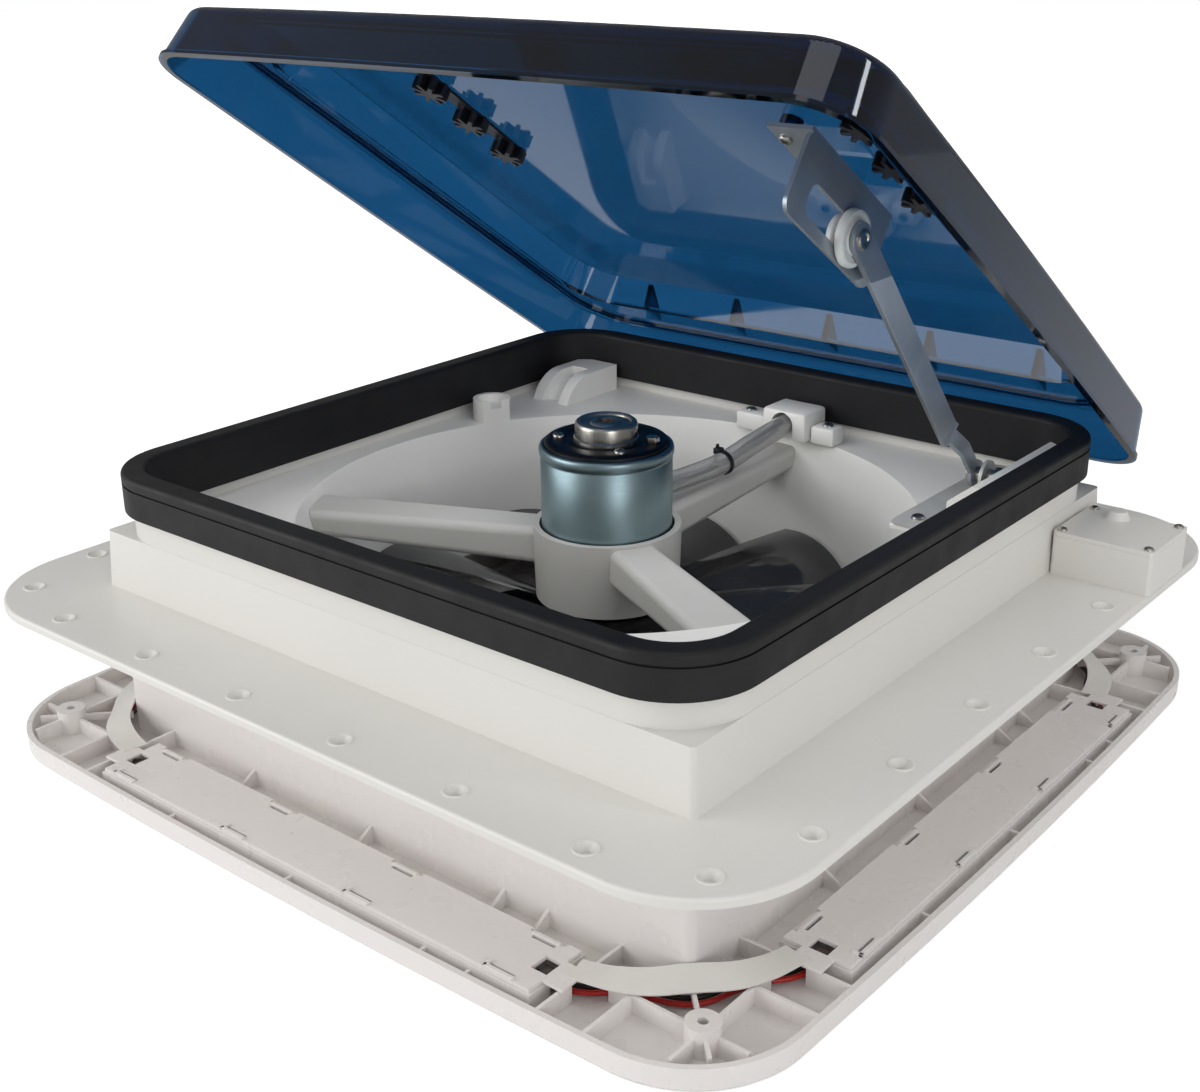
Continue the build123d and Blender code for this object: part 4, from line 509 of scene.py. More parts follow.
# %% Node group for worked metal
def build_worked_metal():
    """Fine lines in one direction, for rolled and turned metal."""
    group = bpy.data.node_groups.new("worked_metal", "ShaderNodeTree")
    group_socket(group, "Colour", "INPUT", "NodeSocketColor", (0.6, 0.6, 0.6, 1))
    group_socket(group, "Stain Colour", "INPUT", "NodeSocketColor", (0.5, 0.5, 0.5, 1))
    group_socket(group, "Line Stretch", "INPUT", "NodeSocketVector", (1, 1, 20))
    group_socket(group, "Smooth Roughness", "INPUT", "NodeSocketFloat", 0.2)
    group_socket(group, "Dull Roughness", "INPUT", "NodeSocketFloat", 0.35)
    group_socket(group, "Line Depth", "INPUT", "NodeSocketFloat", 0.1)
    group_socket(group, "Colour", "OUTPUT", "NodeSocketColor")
    group_socket(group, "Roughness", "OUTPUT", "NodeSocketFloat")
    group_socket(group, "Normal", "OUTPUT", "NodeSocketVector")
    n, link = group.nodes, group.links.new
    given = n.new("NodeGroupInput")
    result = n.new("NodeGroupOutput")
    place = n.new("ShaderNodeTexCoord")
    stretch = n.new("ShaderNodeVectorMath")
    stretch.operation = "MULTIPLY"
    link(place.outputs["Object"], stretch.inputs[0])
    link(given.outputs["Line Stretch"], stretch.inputs[1])
    lines = n.new("ShaderNodeTexNoise")
    lines.inputs["Scale"].default_value = 90.0
    lines.inputs["Detail"].default_value = 4.0
    link(stretch.outputs["Vector"], lines.inputs["Vector"])
    dull = n.new("ShaderNodeMapRange")
    dull.inputs["From Min"].default_value = 0.3
    dull.inputs["From Max"].default_value = 0.7
    link(lines.outputs["Fac"], dull.inputs["Value"])
    link(given.outputs["Smooth Roughness"], dull.inputs["To Min"])
    link(given.outputs["Dull Roughness"], dull.inputs["To Max"])
    link(dull.outputs["Result"], result.inputs["Roughness"])
    bump = n.new("ShaderNodeBump")
    bump.inputs["Distance"].default_value = 0.0001
    link(given.outputs["Line Depth"], bump.inputs["Strength"])
    link(lines.outputs["Fac"], bump.inputs["Height"])
    link(bump.outputs["Normal"], result.inputs["Normal"])
    stain = n.new("ShaderNodeTexNoise")
    stain.inputs["Scale"].default_value = 38.0
    stain.inputs["Detail"].default_value = 4.0
    link(place.outputs["Object"], stain.inputs["Vector"])
    spread = n.new("ShaderNodeMapRange")
    spread.inputs["From Min"].default_value = 0.4
    spread.inputs["From Max"].default_value = 0.65
    link(stain.outputs["Fac"], spread.inputs["Value"])
    mix = n.new("ShaderNodeMix")
    mix.data_type = "RGBA"
    link(spread.outputs["Result"], mix.inputs["Factor"])
    link(given.outputs["Colour"], mix.inputs["A"])
    link(given.outputs["Stain Colour"], mix.inputs["B"])
    link(mix.outputs["Result"], result.inputs["Colour"])
    return group


worked_metal = build_worked_metal()
print("worked metal nodes:", len(worked_metal.nodes))


# %% [markdown]
# ## The metals
# Zinc is the bluest and turned steel the warmest. The arm, the bracket and the lift plate are
# dull from handling, so they are made a little less metallic than the turned pieces.

# %% Metals
def metal(name, colour, stain, stretch, rough=(0.2, 0.32), depth=0.12, **sockets):
    """A metal with worked lines and its own tint."""
    material = bpy.data.materials.new(name)
    material.use_nodes = True
    n, link = material.node_tree.nodes, material.node_tree.links.new
    shader = n["Principled BSDF"]
    shader.inputs["Metallic"].default_value = 1.0
    skin = n.new("ShaderNodeGroup")
    skin.node_tree = worked_metal
    skin.inputs["Colour"].default_value = colour
    skin.inputs["Stain Colour"].default_value = stain
    skin.inputs["Line Stretch"].default_value = stretch
    skin.inputs["Smooth Roughness"].default_value = rough[0]
    skin.inputs["Dull Roughness"].default_value = rough[1]
    skin.inputs["Line Depth"].default_value = depth
    link(skin.outputs["Colour"], shader.inputs["Base Color"])
    link(skin.outputs["Roughness"], shader.inputs["Roughness"])
    link(skin.outputs["Normal"], shader.inputs["Normal"])
    for key, value in sockets.items():
        shader.inputs[key.replace("_", " ")].default_value = value
    return material


zinc = metal("zinc", srgb(150, 172, 178), srgb(143, 165, 172), (1, 1, 14),
             rough=(0.36, 0.44), depth=0.02)
bright_steel = metal("bright_steel", srgb(196, 193, 186), srgb(184, 180, 172), (14, 1, 1),
                     rough=(0.26, 0.36), depth=0.04)
arm_steel = metal("arm_steel", srgb(170, 178, 186), srgb(156, 165, 174), (14, 1, 1),
                  rough=(0.28, 0.4), depth=0.03, Metallic=0.65)
dark_plate = metal("dark_plate", srgb(66, 68, 72), srgb(56, 58, 62), (1, 12, 1),
                   rough=(0.34, 0.46), depth=0.04)
plate_steel = metal("plate_steel", srgb(214, 214, 210), srgb(200, 200, 196), (1, 12, 1),
                    rough=(0.42, 0.56), depth=0.04, Metallic=0.4)
print("metals ready")

# %% [markdown]
# ## Tinted clear plastic
# The lid is smoke blue polycarbonate, about 3 mm thick. Where the bright background shines
# through one wall it looks blue, and where two walls lie behind each other it looks nearly
# black. Transmission in the shader gives both from one material, so no face needs a painted
# shade. The fan is the same kind of plastic, tinted almost black.

# %% Tinted plastics
def tinted(name, colour, drift, rough, transmission, ior=1.5, size=9.0):
    """A clear plastic with a tint."""
    material = moulded(name, colour, drift, rough=rough, grain=(60.0, 0.02), size=size)
    shader = material.node_tree.nodes["Principled BSDF"]
    shader.inputs["Transmission Weight"].default_value = transmission
    shader.inputs["IOR"].default_value = ior
    return material


smoke_blue = tinted("smoke_blue", srgb(18, 65, 102), srgb(16, 60, 97), (0.03, 0.06), 1.0)
smoke_black = tinted("smoke_black", srgb(112, 112, 114), srgb(98, 98, 100), (0.04, 0.1), 0.85)
clear_vinyl = tinted("clear_vinyl", srgb(240, 240, 238), srgb(230, 230, 228), (0.08, 0.16), 0.8)
print("clear plastics ready")

# %% [markdown]
# ## Each node gets its finish
# Every node first gets its material in its own slot. The ones that stay hidden, or whose
# plain shape is right, need no more than that.

# %% Finish the carried-over nodes
finish_of = {
    "roof_flange": white_case, "gasket": rubber, "shroud": pale_deck, "motor_spider": spider_grey,
    "motor_can": zinc, "motor_end_plate": dark_plate, "motor_cap": bright_steel,
    "motor_screws": bright_steel, "fan_shaft": bright_steel, "fan_wheel": smoke_black,
    "fan_nut": bright_steel, "motor_cable": clear_vinyl, "cable_tie": black_clip,
    "cable_arch": pale_deck, "arch_screws": bright_steel, "lift_plate": plate_steel,
    "plate_screws": bright_steel, "gear_cover": pale_deck, "lift_shaft": bright_steel,
    "sector_gear": nylon, "drive_pinion": nylon, "drive_shaft": bright_steel,
    "lift_arm": arm_steel, "roller": nylon, "roller_pin": bright_steel,
    "lift_housing": white_case, "housing_lid": white_case, "housing_screws": bright_steel,
    "lift_motor": black_clip, "lid": smoke_blue, "lug_left": black_clip, "lug_right": black_clip,
    "lid_bracket": arm_steel, "bracket_screws": bright_steel, "hinge_pins": bright_steel,
    "garnish": white_garnish, "leads_red": red_insulation, "leads_black": black_insulation,
    "corner_ribbons": ribbon_skin, "screen_frame": white_garnish, "screen_mesh": black_clip,
}
for side in ("front", "right", "back", "left"):
    finish_of["led_diffuser_" + side] = milky
    finish_of["led_board_" + side] = board_green
    finish_of["led_cover_" + side] = white_garnish

for node, material in finish_of.items():
    nodes[node].data.materials.clear()
    nodes[node].data.materials.append(material)
print("finished nodes:", len(finish_of), "without:", sorted(set(nodes) - set(finish_of)))

# %% [markdown]
# ## Mouldings with a real edge
# No moulding has a knife edge: the tool is polished, and the corner catches a thin line of
# light. The CAD node stays untouched, so each large moulding is copied, its triangles are
# joined and its sharp edges take a bevel of about half a millimetre. Weighted normals keep the
# large faces flat beside those small bevels. The list gives each moulding's or sheet part's
# edge in millimetres, and the rubber gasket has the roundest one.

# %% Mouldings and sheet parts
edge_of_moulding = [
    ("roof_flange", white_case, 0.6), ("shroud", pale_deck, 0.6),
    ("motor_spider", spider_grey, 0.8), ("gear_cover", pale_deck, 0.6),
    ("garnish", white_garnish, 0.4), ("lift_housing", white_case, 0.5),
    ("housing_lid", white_case, 0.6), ("lift_arm", arm_steel, 0.4),
    ("lid_bracket", arm_steel, 0.4), ("lift_plate", plate_steel, 0.4), ("gasket", rubber, 1.2),
    ("lug_left", black_clip, 0.4), ("lug_right", black_clip, 0.4),
    ("screen_frame", white_garnish, 0.4),
]
for node, material, edge in edge_of_moulding:
    piece = dressed(node, node + "_skin", material, edge=edge)
    print(node, "faces:", len(piece.data.polygons))

# %% [markdown]
# ## Cable arch
# The block over the motor's lead is a small moulding with rounded edges and a tunnel with a
# round top. Two flat ears carry its screws. The tunnel is cut from the block after its edges
# are rounded, so that the mouth stays crisp.

# %% Build the arch
arch_body = block("arch_body", (-9, 142, 32.2), (19.5, 165, 49.4), 2.4)
cut_away(arch_body, block("tunnel", (-2.5, 135, 31), (11.5, 170, 42.0)))
tunnel_top = lathe("tunnel_top", [(0, -20), (7.0, -20), (7.0, 20), (0, 20)], 40)
stand(tunnel_top, (4.5, 152, 41.0), (0, 1, 0))
cut_away(arch_body, tunnel_top)
arch_parts = [arch_body]
ear_top = 42.4
for ear_left, ear_right in ((-29.5, -10.0), (20.5, 35.5)):
    arch_parts.append(block("arch_ear", (ear_left, 146, 32.2), (ear_right, 158, ear_top), 1.6))
arch_parts.append(block("arch_foot", (-12, 150, 32.2), (23, 156, 40.5), 0.6))
arch = joined("arch_moulding", arch_parts)
smooth(arch, 36)
stands_for(arch, "cable_arch", pale_deck)
print("arch faces:", len(arch.data.polygons))

# %% [markdown]
# ## Lid and fan
# The lid is one thin clear moulding, and its corners run smoothly into each other. Loose
# triangles would show every facet through the clear wall. The joined copy takes
# smooth shading and keeps only the real edges crisp. The fan's blades are twisted, and need
# the same treatment for their long reflections.

# %% Lid and fan skins
lid_skin = dressed("lid", "lid_skin", smoke_blue, angle=26.0)
fan_skin = dressed("fan_wheel", "fan_skin", smoke_black, angle=34.0)
print("lid faces:", len(lid_skin.data.polygons), "fan faces:", len(fan_skin.data.polygons))

# %% [markdown]
# ## Fan motor
# A drawn steel can has a plain wall, a shallow groove where the end plate is rolled in, and a
# rounded rim above it. The end plate is a dark disc with a ring pressed into it, and the
# bearing cap is a turned steel boss with a dished top. All three are turned outlines, and they
# stand on the fan's own axis.

# %% Turn the motor
fan_place = (-6.5, 0.0, 0.0)
can_outline = [
    (5, -10.4), (30.6, -10.4), (32.2, -9.9), (32.9, -8.6), (32.9, 58.0), (32.5, 58.5),
    (32.5, 59.5), (33.0, 60.0), (33.5, 60.9), (33.7, 62.2), (33.6, 63.6), (33.2, 64.6),
    (32.4, 65.2), (31.5, 65.2), (31.1, 64.6), (31.1, 63.6), (5, 63.6), (5, -10.4),
]
motor_can = stand(lathe("motor_can_turned", can_outline, 96), fan_place)
smooth(motor_can, 50)
stands_for(motor_can, "motor_can", zinc)
plate_outline = [
    (0, 63.8), (31.0, 63.8), (31.0, 66.3), (30.2, 67.1), (27.6, 67.4), (21.4, 67.4), (20.6, 67.0),
    (19.4, 67.0), (18.6, 67.5), (17.0, 67.5), (0, 67.5), (0, 63.8),
]
motor_plate = stand(lathe("motor_plate_turned", plate_outline, 96), fan_place)
smooth(motor_plate, 40)
stands_for(motor_plate, "motor_end_plate", dark_plate)
cap_outline = [
    (0, 67.4), (16.3, 67.4), (16.3, 68.6), (15.6, 69.2), (15.6, 74.8), (15.2, 76.1), (14.2, 76.9),
    (13.0, 77.0), (12.2, 76.4), (11.8, 75.6), (8.2, 75.4), (7.4, 76.3), (6.4, 76.9), (5.2, 76.9),
    (4.3, 76.2), (4.2, 71.6), (0, 71.6), (0, 67.4),
]
motor_cap = stand(lathe("motor_cap_turned", cap_outline, 72), fan_place)
smooth(motor_cap, 40)
stands_for(motor_cap, "motor_cap", bright_steel)
print("motor height in mm:", round(max(v.co.z for v in motor_cap.data.vertices) * 1000, 1))

# %% [markdown]
# ## Screws
# All the screws are pan heads with a cross recess. One head of radius 1 is turned, and the
# cross is cut with two crossed blocks, one after the other, because one cutter that crosses
# itself can empty the head. It is then copied to every place at its own size.

# %% Model one screw head
head_outline = [
    (0, -1.6), (0.45, -1.6), (0.45, 0.0), (1.0, 0.0), (1.0, 0.16), (0.93, 0.34), (0.76, 0.49),
    (0.5, 0.58), (0, 0.61),
]
screw_master = lathe("screw_master", head_outline, 32)
cut_away(screw_master, block("recess_a", (-0.62, -0.11, 0.24), (0.62, 0.11, 0.9)))
cut_away(screw_master, block("recess_b", (-0.11, -0.62, 0.24), (0.11, 0.62, 0.9)))
smooth(screw_master, 34)
print("screw head faces:", len(screw_master.data.polygons))

# %% [markdown]
# ## Screws in their places
# Each group of screws stands in the place of one node, so the copies are joined. Every copy is
# turned a little further than the last, because no one lines up the crosses by hand.

# %% Copy the head to every screw
def screws(node, places, radius, up=(0, 0, 1), spin=25.0):
    """Copies of the screw head at places in millimetres, as one piece in a node's place."""
    heads = []
    for number, place in enumerate(places):
        head = copy_of(screw_master, "screw_head")
        head.matrix_world = Matrix.Rotation(math.radians(spin + 37 * number), 4, "Z")
        apply_place(head)
        heads.append(stand(head, place, up, radius))
    return stands_for(joined(node + "_heads", heads), node, bright_steel)


def round_fan(distance, turn, height):
    """A point at a distance and a turn in degrees round the fan's axis."""
    return (fan_place[0] + distance * math.cos(math.radians(turn)),
            distance * math.sin(math.radians(turn)), height)


lid_turn = math.radians(34.0)
hinge_y, hinge_z = 187.5, 31.0


def on_lid(x, y, z):
    """A point of the closed lid, carried to the open one."""
    along, above = y - hinge_y, z - hinge_z
    return (x, hinge_y + along * math.cos(lid_turn) + above * math.sin(lid_turn),
            hinge_z - along * math.sin(lid_turn) + above * math.cos(lid_turn))


lid_down = (0, -math.sin(lid_turn), -math.cos(lid_turn))
plate_top, end_plate_top, bracket_face, housing_top = 36.2, 67.4, 75.5, 26.3
housing_x, housing_y = 203.2, 140.5
housing_corners = [(housing_x + a * 21.6, housing_y + b * 19.0, housing_top)
                   for a in (-1, 1) for b in (-1, 1)]
screws("arch_screws", [(-22.5, 152, ear_top), (28.5, 152, ear_top)], 3.0)
screws("plate_screws", [(130.5, 69, plate_top), (130.5, 155, plate_top)], 3.4)
screws("housing_screws", housing_corners, 2.4)
screws("bracket_screws", [on_lid(103, -88, bracket_face), on_lid(103, -28, bracket_face)], 3.2,
       up=lid_down)
screws("motor_screws", [round_fan(24, 325, end_plate_top), round_fan(24, 210, end_plate_top)], 3.0)
print("screw groups: 5")

# %% [markdown]
# ## Nut on the end plate
# Beside the two screws a tie rod comes through the motor's end plate, with a nut on it. It is a
# six-sided cylinder with broken edges. No node holds it alone, so it rides with the screws.

# %% Nut
nut_radius, nut_height = 3.6, 3.2
bpy.ops.object.select_all(action="DESELECT")
bpy.ops.mesh.primitive_cylinder_add(vertices=6, radius=nut_radius * MM, depth=nut_height * MM)
nut = bpy.context.object
nut.name = "motor_nut"
add_modifier(nut, "BEVEL", width=0.35 * MM, segments=2)
stand(nut, round_fan(24, 20, 69.0))
smooth(nut, 30)
rides_with(nut, "motor_screws", bright_steel)
bpy.data.objects.remove(screw_master)
print("nut faces:", len(nut.data.polygons))

# %% [markdown]
# ## Rings round the flange's holes
# Each screw hole has a low raised ring, which keeps the sealant under the head. The ring is
# turned once and copied along the hole lines: six holes a side, less the one whose place the
# drive housing takes, and one in each corner.

# %% Rings
ring_outline = [(4.3, -0.4), (4.45, 0.35), (4.75, 0.5), (5.1, 0.5), (5.4, 0.3), (5.6, -0.4),
                (4.3, -0.4)]
flange_top = 4.0
hole_pitch = 63.5
side_hole_line = 215.9
corner_hole_line = 203.2
ring_master = lathe("ring_master", ring_outline, 40)
steps_along = [hole_pitch * (number - 2.5) for number in range(6)]
ring_places = [(step, side * side_hole_line) for step in steps_along for side in (-1, 1)]
ring_places += [(-side_hole_line, step) for step in steps_along]
ring_places += [(side_hole_line, step) for step in steps_along[:-1]]
ring_places += [(a * corner_hole_line, b * corner_hole_line) for a in (-1, 1) for b in (-1, 1)]
rings = []
for x, y in ring_places:
    rings.append(stand(copy_of(ring_master, "hole_ring"), (x, y, flange_top)))
bpy.data.objects.remove(ring_master)
rides_with(smooth(joined("hole_rings", rings), 34), "roof_flange", white_case)
print("rings:", len(ring_places))

# %% [markdown]
# ## Roller and its pin
# The roller is white nylon with a wide flange in front of the bracket's slot and a smaller one
# behind it, and the steel pin is riveted through the arm. Both are turned lying down along X.

# %% Turn the roller
roller_low, roller_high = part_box("roller")
roller_y = (roller_low[1] + roller_high[1]) / 2 * 1000
roller_z = (roller_low[2] + roller_high[2]) / 2 * 1000
roller_x = roller_low[0] * 1000
roller_place = (roller_x, roller_y, roller_z)
roller_outline = [
    (3.05, 0.0), (8.6, 0.0), (9.4, 0.6), (9.4, 2.6), (8.8, 3.2), (6.5, 3.2), (6.5, 6.2),
    (11.6, 6.2), (12.6, 6.9), (12.8, 8.0), (12.6, 9.4), (11.8, 10.4), (10.6, 10.6), (9.9, 10.0),
    (7.4, 9.8), (7.0, 10.5), (3.05, 10.5), (3.05, 0.0),
]
roller_turned = stand(lathe("roller_turned", roller_outline, 72), roller_place, (1, 0, 0))
smooth(roller_turned, 38)
stands_for(roller_turned, "roller", nylon)
pin_outline = [
    (0, -1.8), (3.4, -1.8), (4.4, -1.3), (4.6, -0.4), (4.6, -0.3), (3.0, -0.3), (3.0, 13.5),
    (4.6, 13.5), (4.6, 13.9), (4.2, 14.7), (3.2, 15.0), (2.4, 14.7), (2.0, 14.1), (0, 14.0),
    (0, -1.8),
]
pin_turned = stand(lathe("pin_turned", pin_outline, 48), roller_place, (1, 0, 0))
smooth(pin_turned, 38)
stands_for(pin_turned, "roller_pin", bright_steel)
print("roller at", round(roller_y, 1), round(roller_z, 1))

# %% [markdown]
# ## Motor lead in its sleeve
# A clear sleeve carries the motor's wires along the back spoke and into the arch. The sleeve
# is a thin tube with its wires loose inside, so both are made: a smooth line gives the tube, a
# thin wall makes it hollow, and three wires follow the same line a little aside.

# %% Sleeve and wires
sleeve_points = [(-1.5, 33.6, 33.0), (1.5, 60, 32.4), (4.5, 88, 33.6), (5.2, 116, 38.6),
                 (4.5, 147, 40.6)]
sleeve_radius = 5.9
wire_radius = 1.45
sleeve = as_mesh(line_through("sleeve", sleeve_points, sleeve_radius))
add_modifier(sleeve, "SOLIDIFY", thickness=0.6 * MM, offset=-1.0)
smooth(sleeve, 50)
stands_for(sleeve, "motor_cable", clear_vinyl)
for number, (aside, above, material) in enumerate(
        [(-2.2, -1.4, silver_wire), (2.2, -1.4, dark_wire), (0.2, 2.0, silver_wire)]):
    bend = [(x + aside * math.cos(0.9 * k), y,
             z + above * math.cos(0.9 * k) + 0.8 * math.sin(1.3 * k + number))
            for k, (x, y, z) in enumerate(sleeve_points)]
    wire = as_mesh(line_through("motor_wire_" + str(number), bend, wire_radius))
    smooth(wire, 50)
    rides_with(wire, "motor_cable", material)
print("wires in the sleeve: 3")

# %% [markdown]
# ## Cable tie
# A tie holds the sleeve's end together. Its strap is a turned band, with a block for the head
# and a short cut tail above it.

# %% Tie
tie_outline = [(5.9, -1.3), (6.5, -1.3), (6.7, -1.0), (6.7, 1.0), (6.5, 1.3), (5.9, 1.3),
               (5.9, -1.3)]
tie_band = lathe("tie_band", tie_outline, 40)
stand(tie_band, (4.2, 86, 33.7), (0.04, 1, 0.1))
tie_head = block("tie_head", (-1.2, 83.8, 38.2), (3.2, 88.2, 41.6), 0.5)
tie_tail = block("tie_tail", (-0.4, 85.0, 41.0), (0.6, 87.2, 43.4), 0.3)
cable_tie = joined("cable_tie_band", [tie_band, tie_head, tie_tail])
smooth(cable_tie, 34)
stands_for(cable_tie, "cable_tie", black_clip)
print("tie faces:", len(cable_tie.data.polygons))

# %% [markdown]
# ## Lamp leads
# At three corners a red and a black lead leave one tray's end, cut across inside the ribs and
# reach the next tray. A lead is a limp cord, so it is one smooth curve, and a copy of its middle
# line is also turned into a mesh. One corner's route is given, and the others are turned.

# %% Leads
corner_turns = {"front": 0.0, "right": 90.0, "left": 270.0}


def about_z(point, turn):
    """A point turned round the upright axis."""
    c, s = math.cos(math.radians(turn)), math.sin(math.radians(turn))
    return (point[0] * c - point[1] * s, point[0] * s + point[1] * c, point[2])


lead_height = -72.35
lead_radius = 1.2
lead_turns = {
    "red": [(122.3, -206.5), (141, -206.5), (157, -191), (184, -184), (191, -157), (206.5, -141),
            (206.5, -122.3)],
    "black": [(122.3, -203.1), (139.6, -203.1), (155.3, -187.9), (181.2, -181.2),
              (187.9, -155.3), (203.1, -139.6), (203.1, -122.3)],
}
for colour, material in (("red", red_insulation), ("black", black_insulation)):
    for corner, turn in corner_turns.items():
        path_points = [about_z((x, y, lead_height), turn) for x, y in lead_turns[colour]]
        lead = line_through("lead_" + colour + "_" + corner, path_points, lead_radius)
        lead.data.materials.append(material)
        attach(lead, "base")
        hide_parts("leads_" + colour)
        line = line_through("measure", path_points, 0.0)
        line.data.use_fill_caps = False
        shape = bpy.data.meshes.new_from_object(line)
        bpy.data.objects.remove(line)

# %% [markdown]
# ## Corner ribbons
# Over the leads a stiff white ribbon cable bridges the same three corners. It is a strip whose
# tilt changes along its line: it lies flat on the trays' ends and leans at the neck's corner.

# %% Ribbons
ribbon_line = [(139, -200, -65.0), (147, -198.5, -64.8), (156, -196, -64.4), (168, -190, -63.8),
               (178.5, -178.5, -63.4), (190, -168, -63.8), (196, -156, -64.4), (198.5, -147, -64.8),
               (200, -139, -65.0)]
ribbon_tilts = [90, 92, 100, 110, 114, 110, 100, 92, 90]
ribbon_half_width = 6.2
ribbons = []
for corner, turn in corner_turns.items():
    strip = line_through("ribbon_" + corner, [about_z(p, turn) for p in ribbon_line], 0.0,
                         flat=ribbon_half_width, tilts=ribbon_tilts)
    strip = as_mesh(strip)
    add_modifier(strip, "SOLIDIFY", thickness=0.7 * MM, offset=0.0)
    ribbons.append(smooth(strip, 40))
stands_for(joined("ribbon_strips", ribbons), "corner_ribbons", ribbon_skin)
print("ribbons:", len(corner_turns))

# %% [markdown]
# ## Covers over the light strips
# Each cover is a plain moulded plate that snaps over its tray. Along both edges it has hooks
# with a slot beside them, and at each end a square window where the leads come out. One cover
# is made for the front, and the other three are copies turned round the middle.

# %% Cover and its copies
window_x = 130
tab_ends = ((-144, -133), (133, 144))
hook_places = (-118.5, -39.5, 39.5, 118.5)
cover = block("cover_plate", (-134, -221, -66.6), (134, -190, -64.7))
end_tabs = [block("end_tab", (left, -213.5, -66.5), (right, -198.5, -64.9), 0.5)
            for left, right in tab_ends]
for x in (-window_x, window_x):
    cut_away(cover, block("window", (x - 4.5, -210, -70), (x + 4.5, -201, -60)))
for x in hook_places:
    cut_away(cover, block("outer_slot", (x - 7, -219.4, -70), (x + 6, -217.6, -60)))
    cut_away(cover, block("inner_notch", (x - 9, -192.2, -70), (x + 9, -188, -60)))
    cut_away(cover, block("inner_slot", (x - 6, -195.4, -70), (x + 6, -193.8, -60)))
add_modifier(cover, "BEVEL", width=0.35 * MM, segments=2, limit_method="ANGLE",
             use_clamp_overlap=True)
hooks = []
for x in hook_places:
    hooks.append(block("hook_bar", (x - 8, -221.4, -65.2), (x + 7, -219.4, -63.6), 0.3))
    hooks.append(block("hook_end", (x - 8, -221.4, -65.2), (x - 6.4, -216.4, -63.6), 0.3))
    hooks.append(block("inner_bar", (x - 7, -193.9, -65.2), (x + 7, -192.2, -63.9), 0.3))
    hooks.append(block("inner_tongue", (x - 6.5, -193.0, -67.4), (x + 6.5, -189.6, -66.2), 0.3))
cover_front = joined("cover_front", [cover] + end_tabs + hooks)
smooth(cover_front, 32)
add_modifier(cover_front, "WEIGHTED_NORMAL", keep_sharp=True)
for side, turn in (("right", 90), ("back", 180), ("left", 270)):
    turned = copy_of(cover_front, "cover_" + side)
    turned.matrix_world = Matrix.Rotation(math.radians(turn), 4, "Z")
    stands_for(apply_place(turned), "led_cover_" + side, white_garnish)
stands_for(cover_front, "led_cover_front", white_garnish)
print("cover faces:", len(cover_front.data.polygons))

# %% [markdown]
# ## Plugs in the end windows
# Below each window of a cover sits the brown plug of the light strip's lead. A plain block with
# broken edges is enough for what shows of it, and the two plugs of a strip ride with its board.

# %% Plugs
for side, turn in (("front", 0), ("right", 90), ("back", 180), ("left", 270)):
    plugs = []
    for end_x in (-window_x, window_x):
        x, y, z = about_z((end_x, -205.5, -68.6), turn)
        plugs.append(block("plug", (x - 3.6, y - 3.6, z - 1.6), (x + 3.6, y + 3.6, z + 1.2), 0.5))
    rides_with(smooth(joined("plugs_" + side, plugs), 34), "led_board_" + side, plug_brown)
print("plugs: 8")

# %% [markdown]
# ## Floor
# A white sweep, as in a catalogue picture, lies where the garnish rests. It is white to the
# camera and in what clear plastic lets through, and calmer in reflections, so that the dark lid
# keeps its depth. Near the object the floor glows only half, which keeps the object's shadow.

# %% Floor that is white to the eye and keeps the shadow
floor_height = cad_low[2]
bpy.ops.object.select_all(action="DESELECT")
bpy.ops.mesh.primitive_plane_add(size=12.0, location=(0, 0, floor_height))
floor = bpy.context.object
floor.name = "floor"
apply_place(floor)
paper = bpy.data.materials.new("paper")
paper.use_nodes = True
n, link = paper.node_tree.nodes, paper.node_tree.links.new
plain = n["Principled BSDF"]
plain.inputs["Base Color"].default_value = (0.86, 0.86, 0.86, 1)
plain.inputs["Roughness"].default_value = 0.9
plain.inputs["Specular IOR Level"].default_value = 0.1
plain.inputs["Emission Color"].default_value = (1, 1, 1, 1)
floor_path = n.new("ShaderNodeLightPath")
floor_eye = n.new("ShaderNodeMath")
floor_eye.operation = "MAXIMUM"
link(floor_path.outputs["Is Camera Ray"], floor_eye.inputs[0])
link(floor_path.outputs["Is Transmission Ray"], floor_eye.inputs[1])
floor_place = n.new("ShaderNodeTexCoord")
floor_reach = n.new("ShaderNodeVectorMath")
floor_reach.operation = "LENGTH"
link(floor_place.outputs["Object"], floor_reach.inputs[0])
floor_glow = n.new("ShaderNodeMapRange")
floor_glow.inputs["From Min"].default_value = 0.45
floor_glow.inputs["From Max"].default_value = 1.3
floor_glow.inputs["To Min"].default_value = 0.5
floor_glow.inputs["To Max"].default_value = 1.0
link(floor_reach.outputs["Value"], floor_glow.inputs["Value"])
floor_shown = n.new("ShaderNodeMath")
floor_shown.operation = "MULTIPLY"
link(floor_eye.outputs["Value"], floor_shown.inputs[0])
link(floor_glow.outputs["Result"], floor_shown.inputs[1])
link(floor_shown.outputs["Value"], plain.inputs["Emission Strength"])
floor.data.materials.append(paper)
print("floor at", round(floor_height, 4), "m")

# %% [markdown]
# ## World
# The world is the white room round the object. Light Path tells a ray of the camera, and one
# that comes through clear plastic, from the rest: those see white, and the others find half of
# it, which is the soft light from all sides. In reflections it is calmer still.

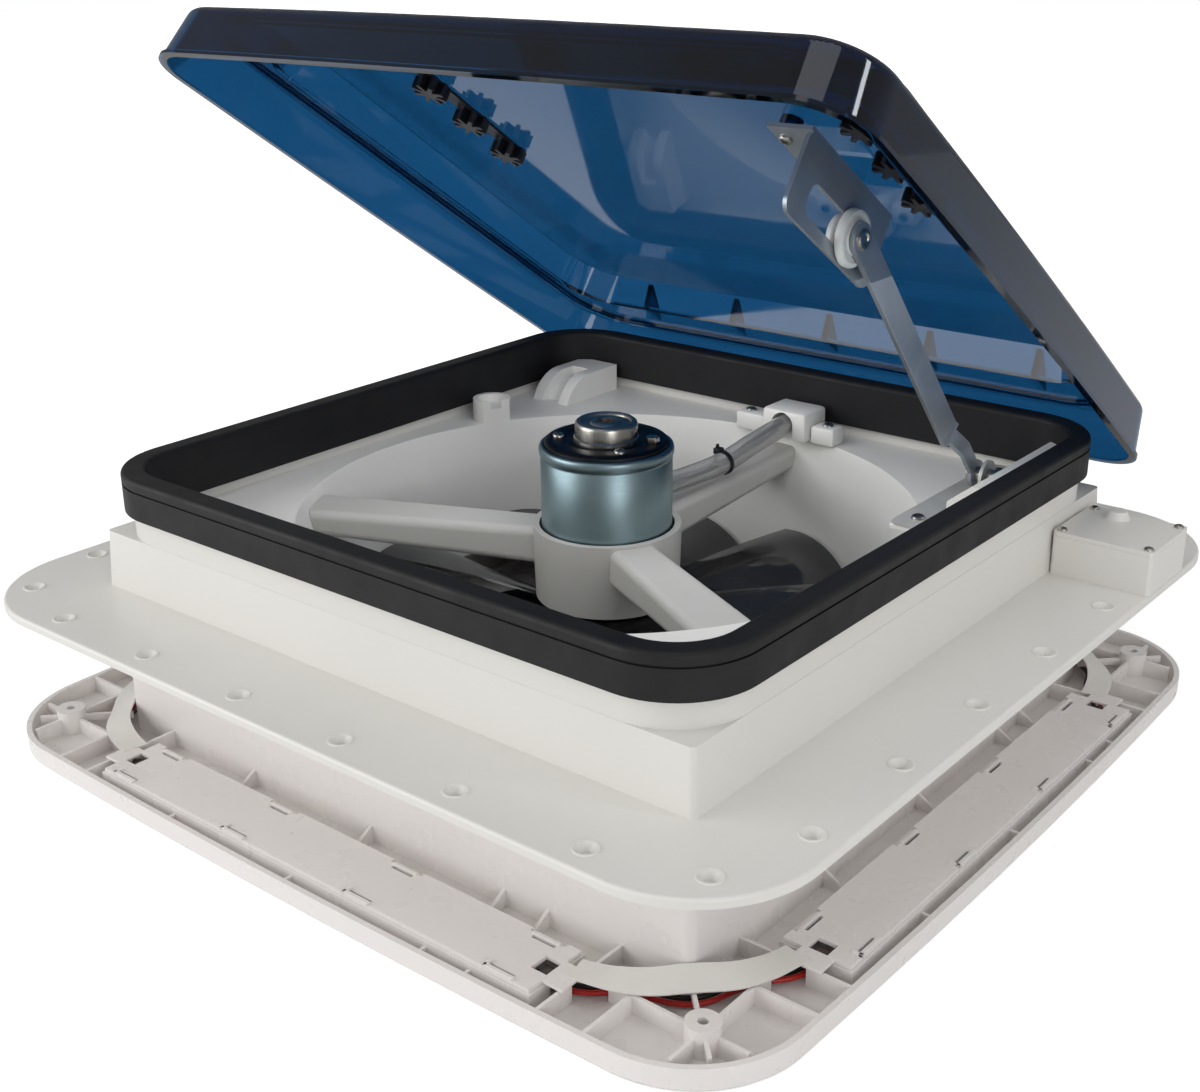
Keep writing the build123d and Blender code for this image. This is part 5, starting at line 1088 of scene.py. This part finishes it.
# %% World
world = bpy.data.worlds.new("studio")
bpy.context.scene.world = world
world.use_nodes = True
n, link = world.node_tree.nodes, world.node_tree.links.new
sky = n["Background"]
sky.inputs["Color"].default_value = (1, 1, 1, 1)
ray = n.new("ShaderNodeLightPath")
seen = n.new("ShaderNodeMath")
seen.operation = "MAXIMUM"
link(ray.outputs["Is Camera Ray"], seen.inputs[0])
link(ray.outputs["Is Transmission Ray"], seen.inputs[1])
level = n.new("ShaderNodeMapRange")
level.inputs["To Min"].default_value = 0.5
level.inputs["To Max"].default_value = 1.0
link(seen.outputs["Value"], level.inputs["Value"])
gloss = n.new("ShaderNodeMath")
gloss.operation = "MULTIPLY"
gloss.inputs[1].default_value = -0.22
link(ray.outputs["Is Glossy Ray"], gloss.inputs[0])
total = n.new("ShaderNodeMath")
total.operation = "ADD"
link(level.outputs["Result"], total.inputs[0])
link(gloss.outputs["Value"], total.inputs[1])
link(total.outputs["Value"], sky.inputs["Strength"])
print("world nodes:", len(n))

# %% [markdown]
# ## Lamps
# The main lamp is low on the left, which leaves the right walls and the open flange a little
# darker, as in the picture. A small one from the right and one from above fill the shadows. A
# weak lamp under the lid lifts the pale deck, and is hidden from view and reflections. A thin
# strip on the right draws the bright line on the lid's front corner.

# %% Lamps
def soft_lamp(name, place, target, size, power, height=None):
    """A soft lamp that looks at a point: square, or a strip where it has a height."""
    data = bpy.data.lights.new(name, "AREA")
    data.shape = "RECTANGLE"
    data.size = size
    data.size_y = height or size
    data.energy = power
    lamp = bpy.data.objects.new(name, data)
    bpy.context.scene.collection.objects.link(lamp)
    aim = (Vector(target) - Vector(place)).to_track_quat("-Z", "Y")
    lamp.matrix_world = Matrix.Translation(place) @ aim.to_matrix().to_4x4()
    return lamp


soft_lamp("lamp_left", (-1.0, -1.25, 0.45), (0, 0, 0.0), 1.2, 13.0)
soft_lamp("lamp_front", (1.5, -0.9, 0.35), (0, 0, 0.0), 0.7, 6.0)
soft_lamp("lamp_top", (0.3, -0.5, 1.7), (0, 0, 0.0), 1.0, 4.0)
lamp_deck = soft_lamp("lamp_deck", (0.05, 0.02, 0.16), (0.05, 0.02, 0.0), 0.3, 0.3, height=0.2)
lamp_deck.visible_camera = False
lamp_deck.visible_glossy = False
lamp_deck.visible_transmission = False
soft_lamp("lamp_edge", (1.44, 0.39, 1.1), (0.18, -0.1, 0.25), 0.1, 2.2, height=0.6)
view = bpy.context.scene.view_settings
view.view_transform = "Standard"
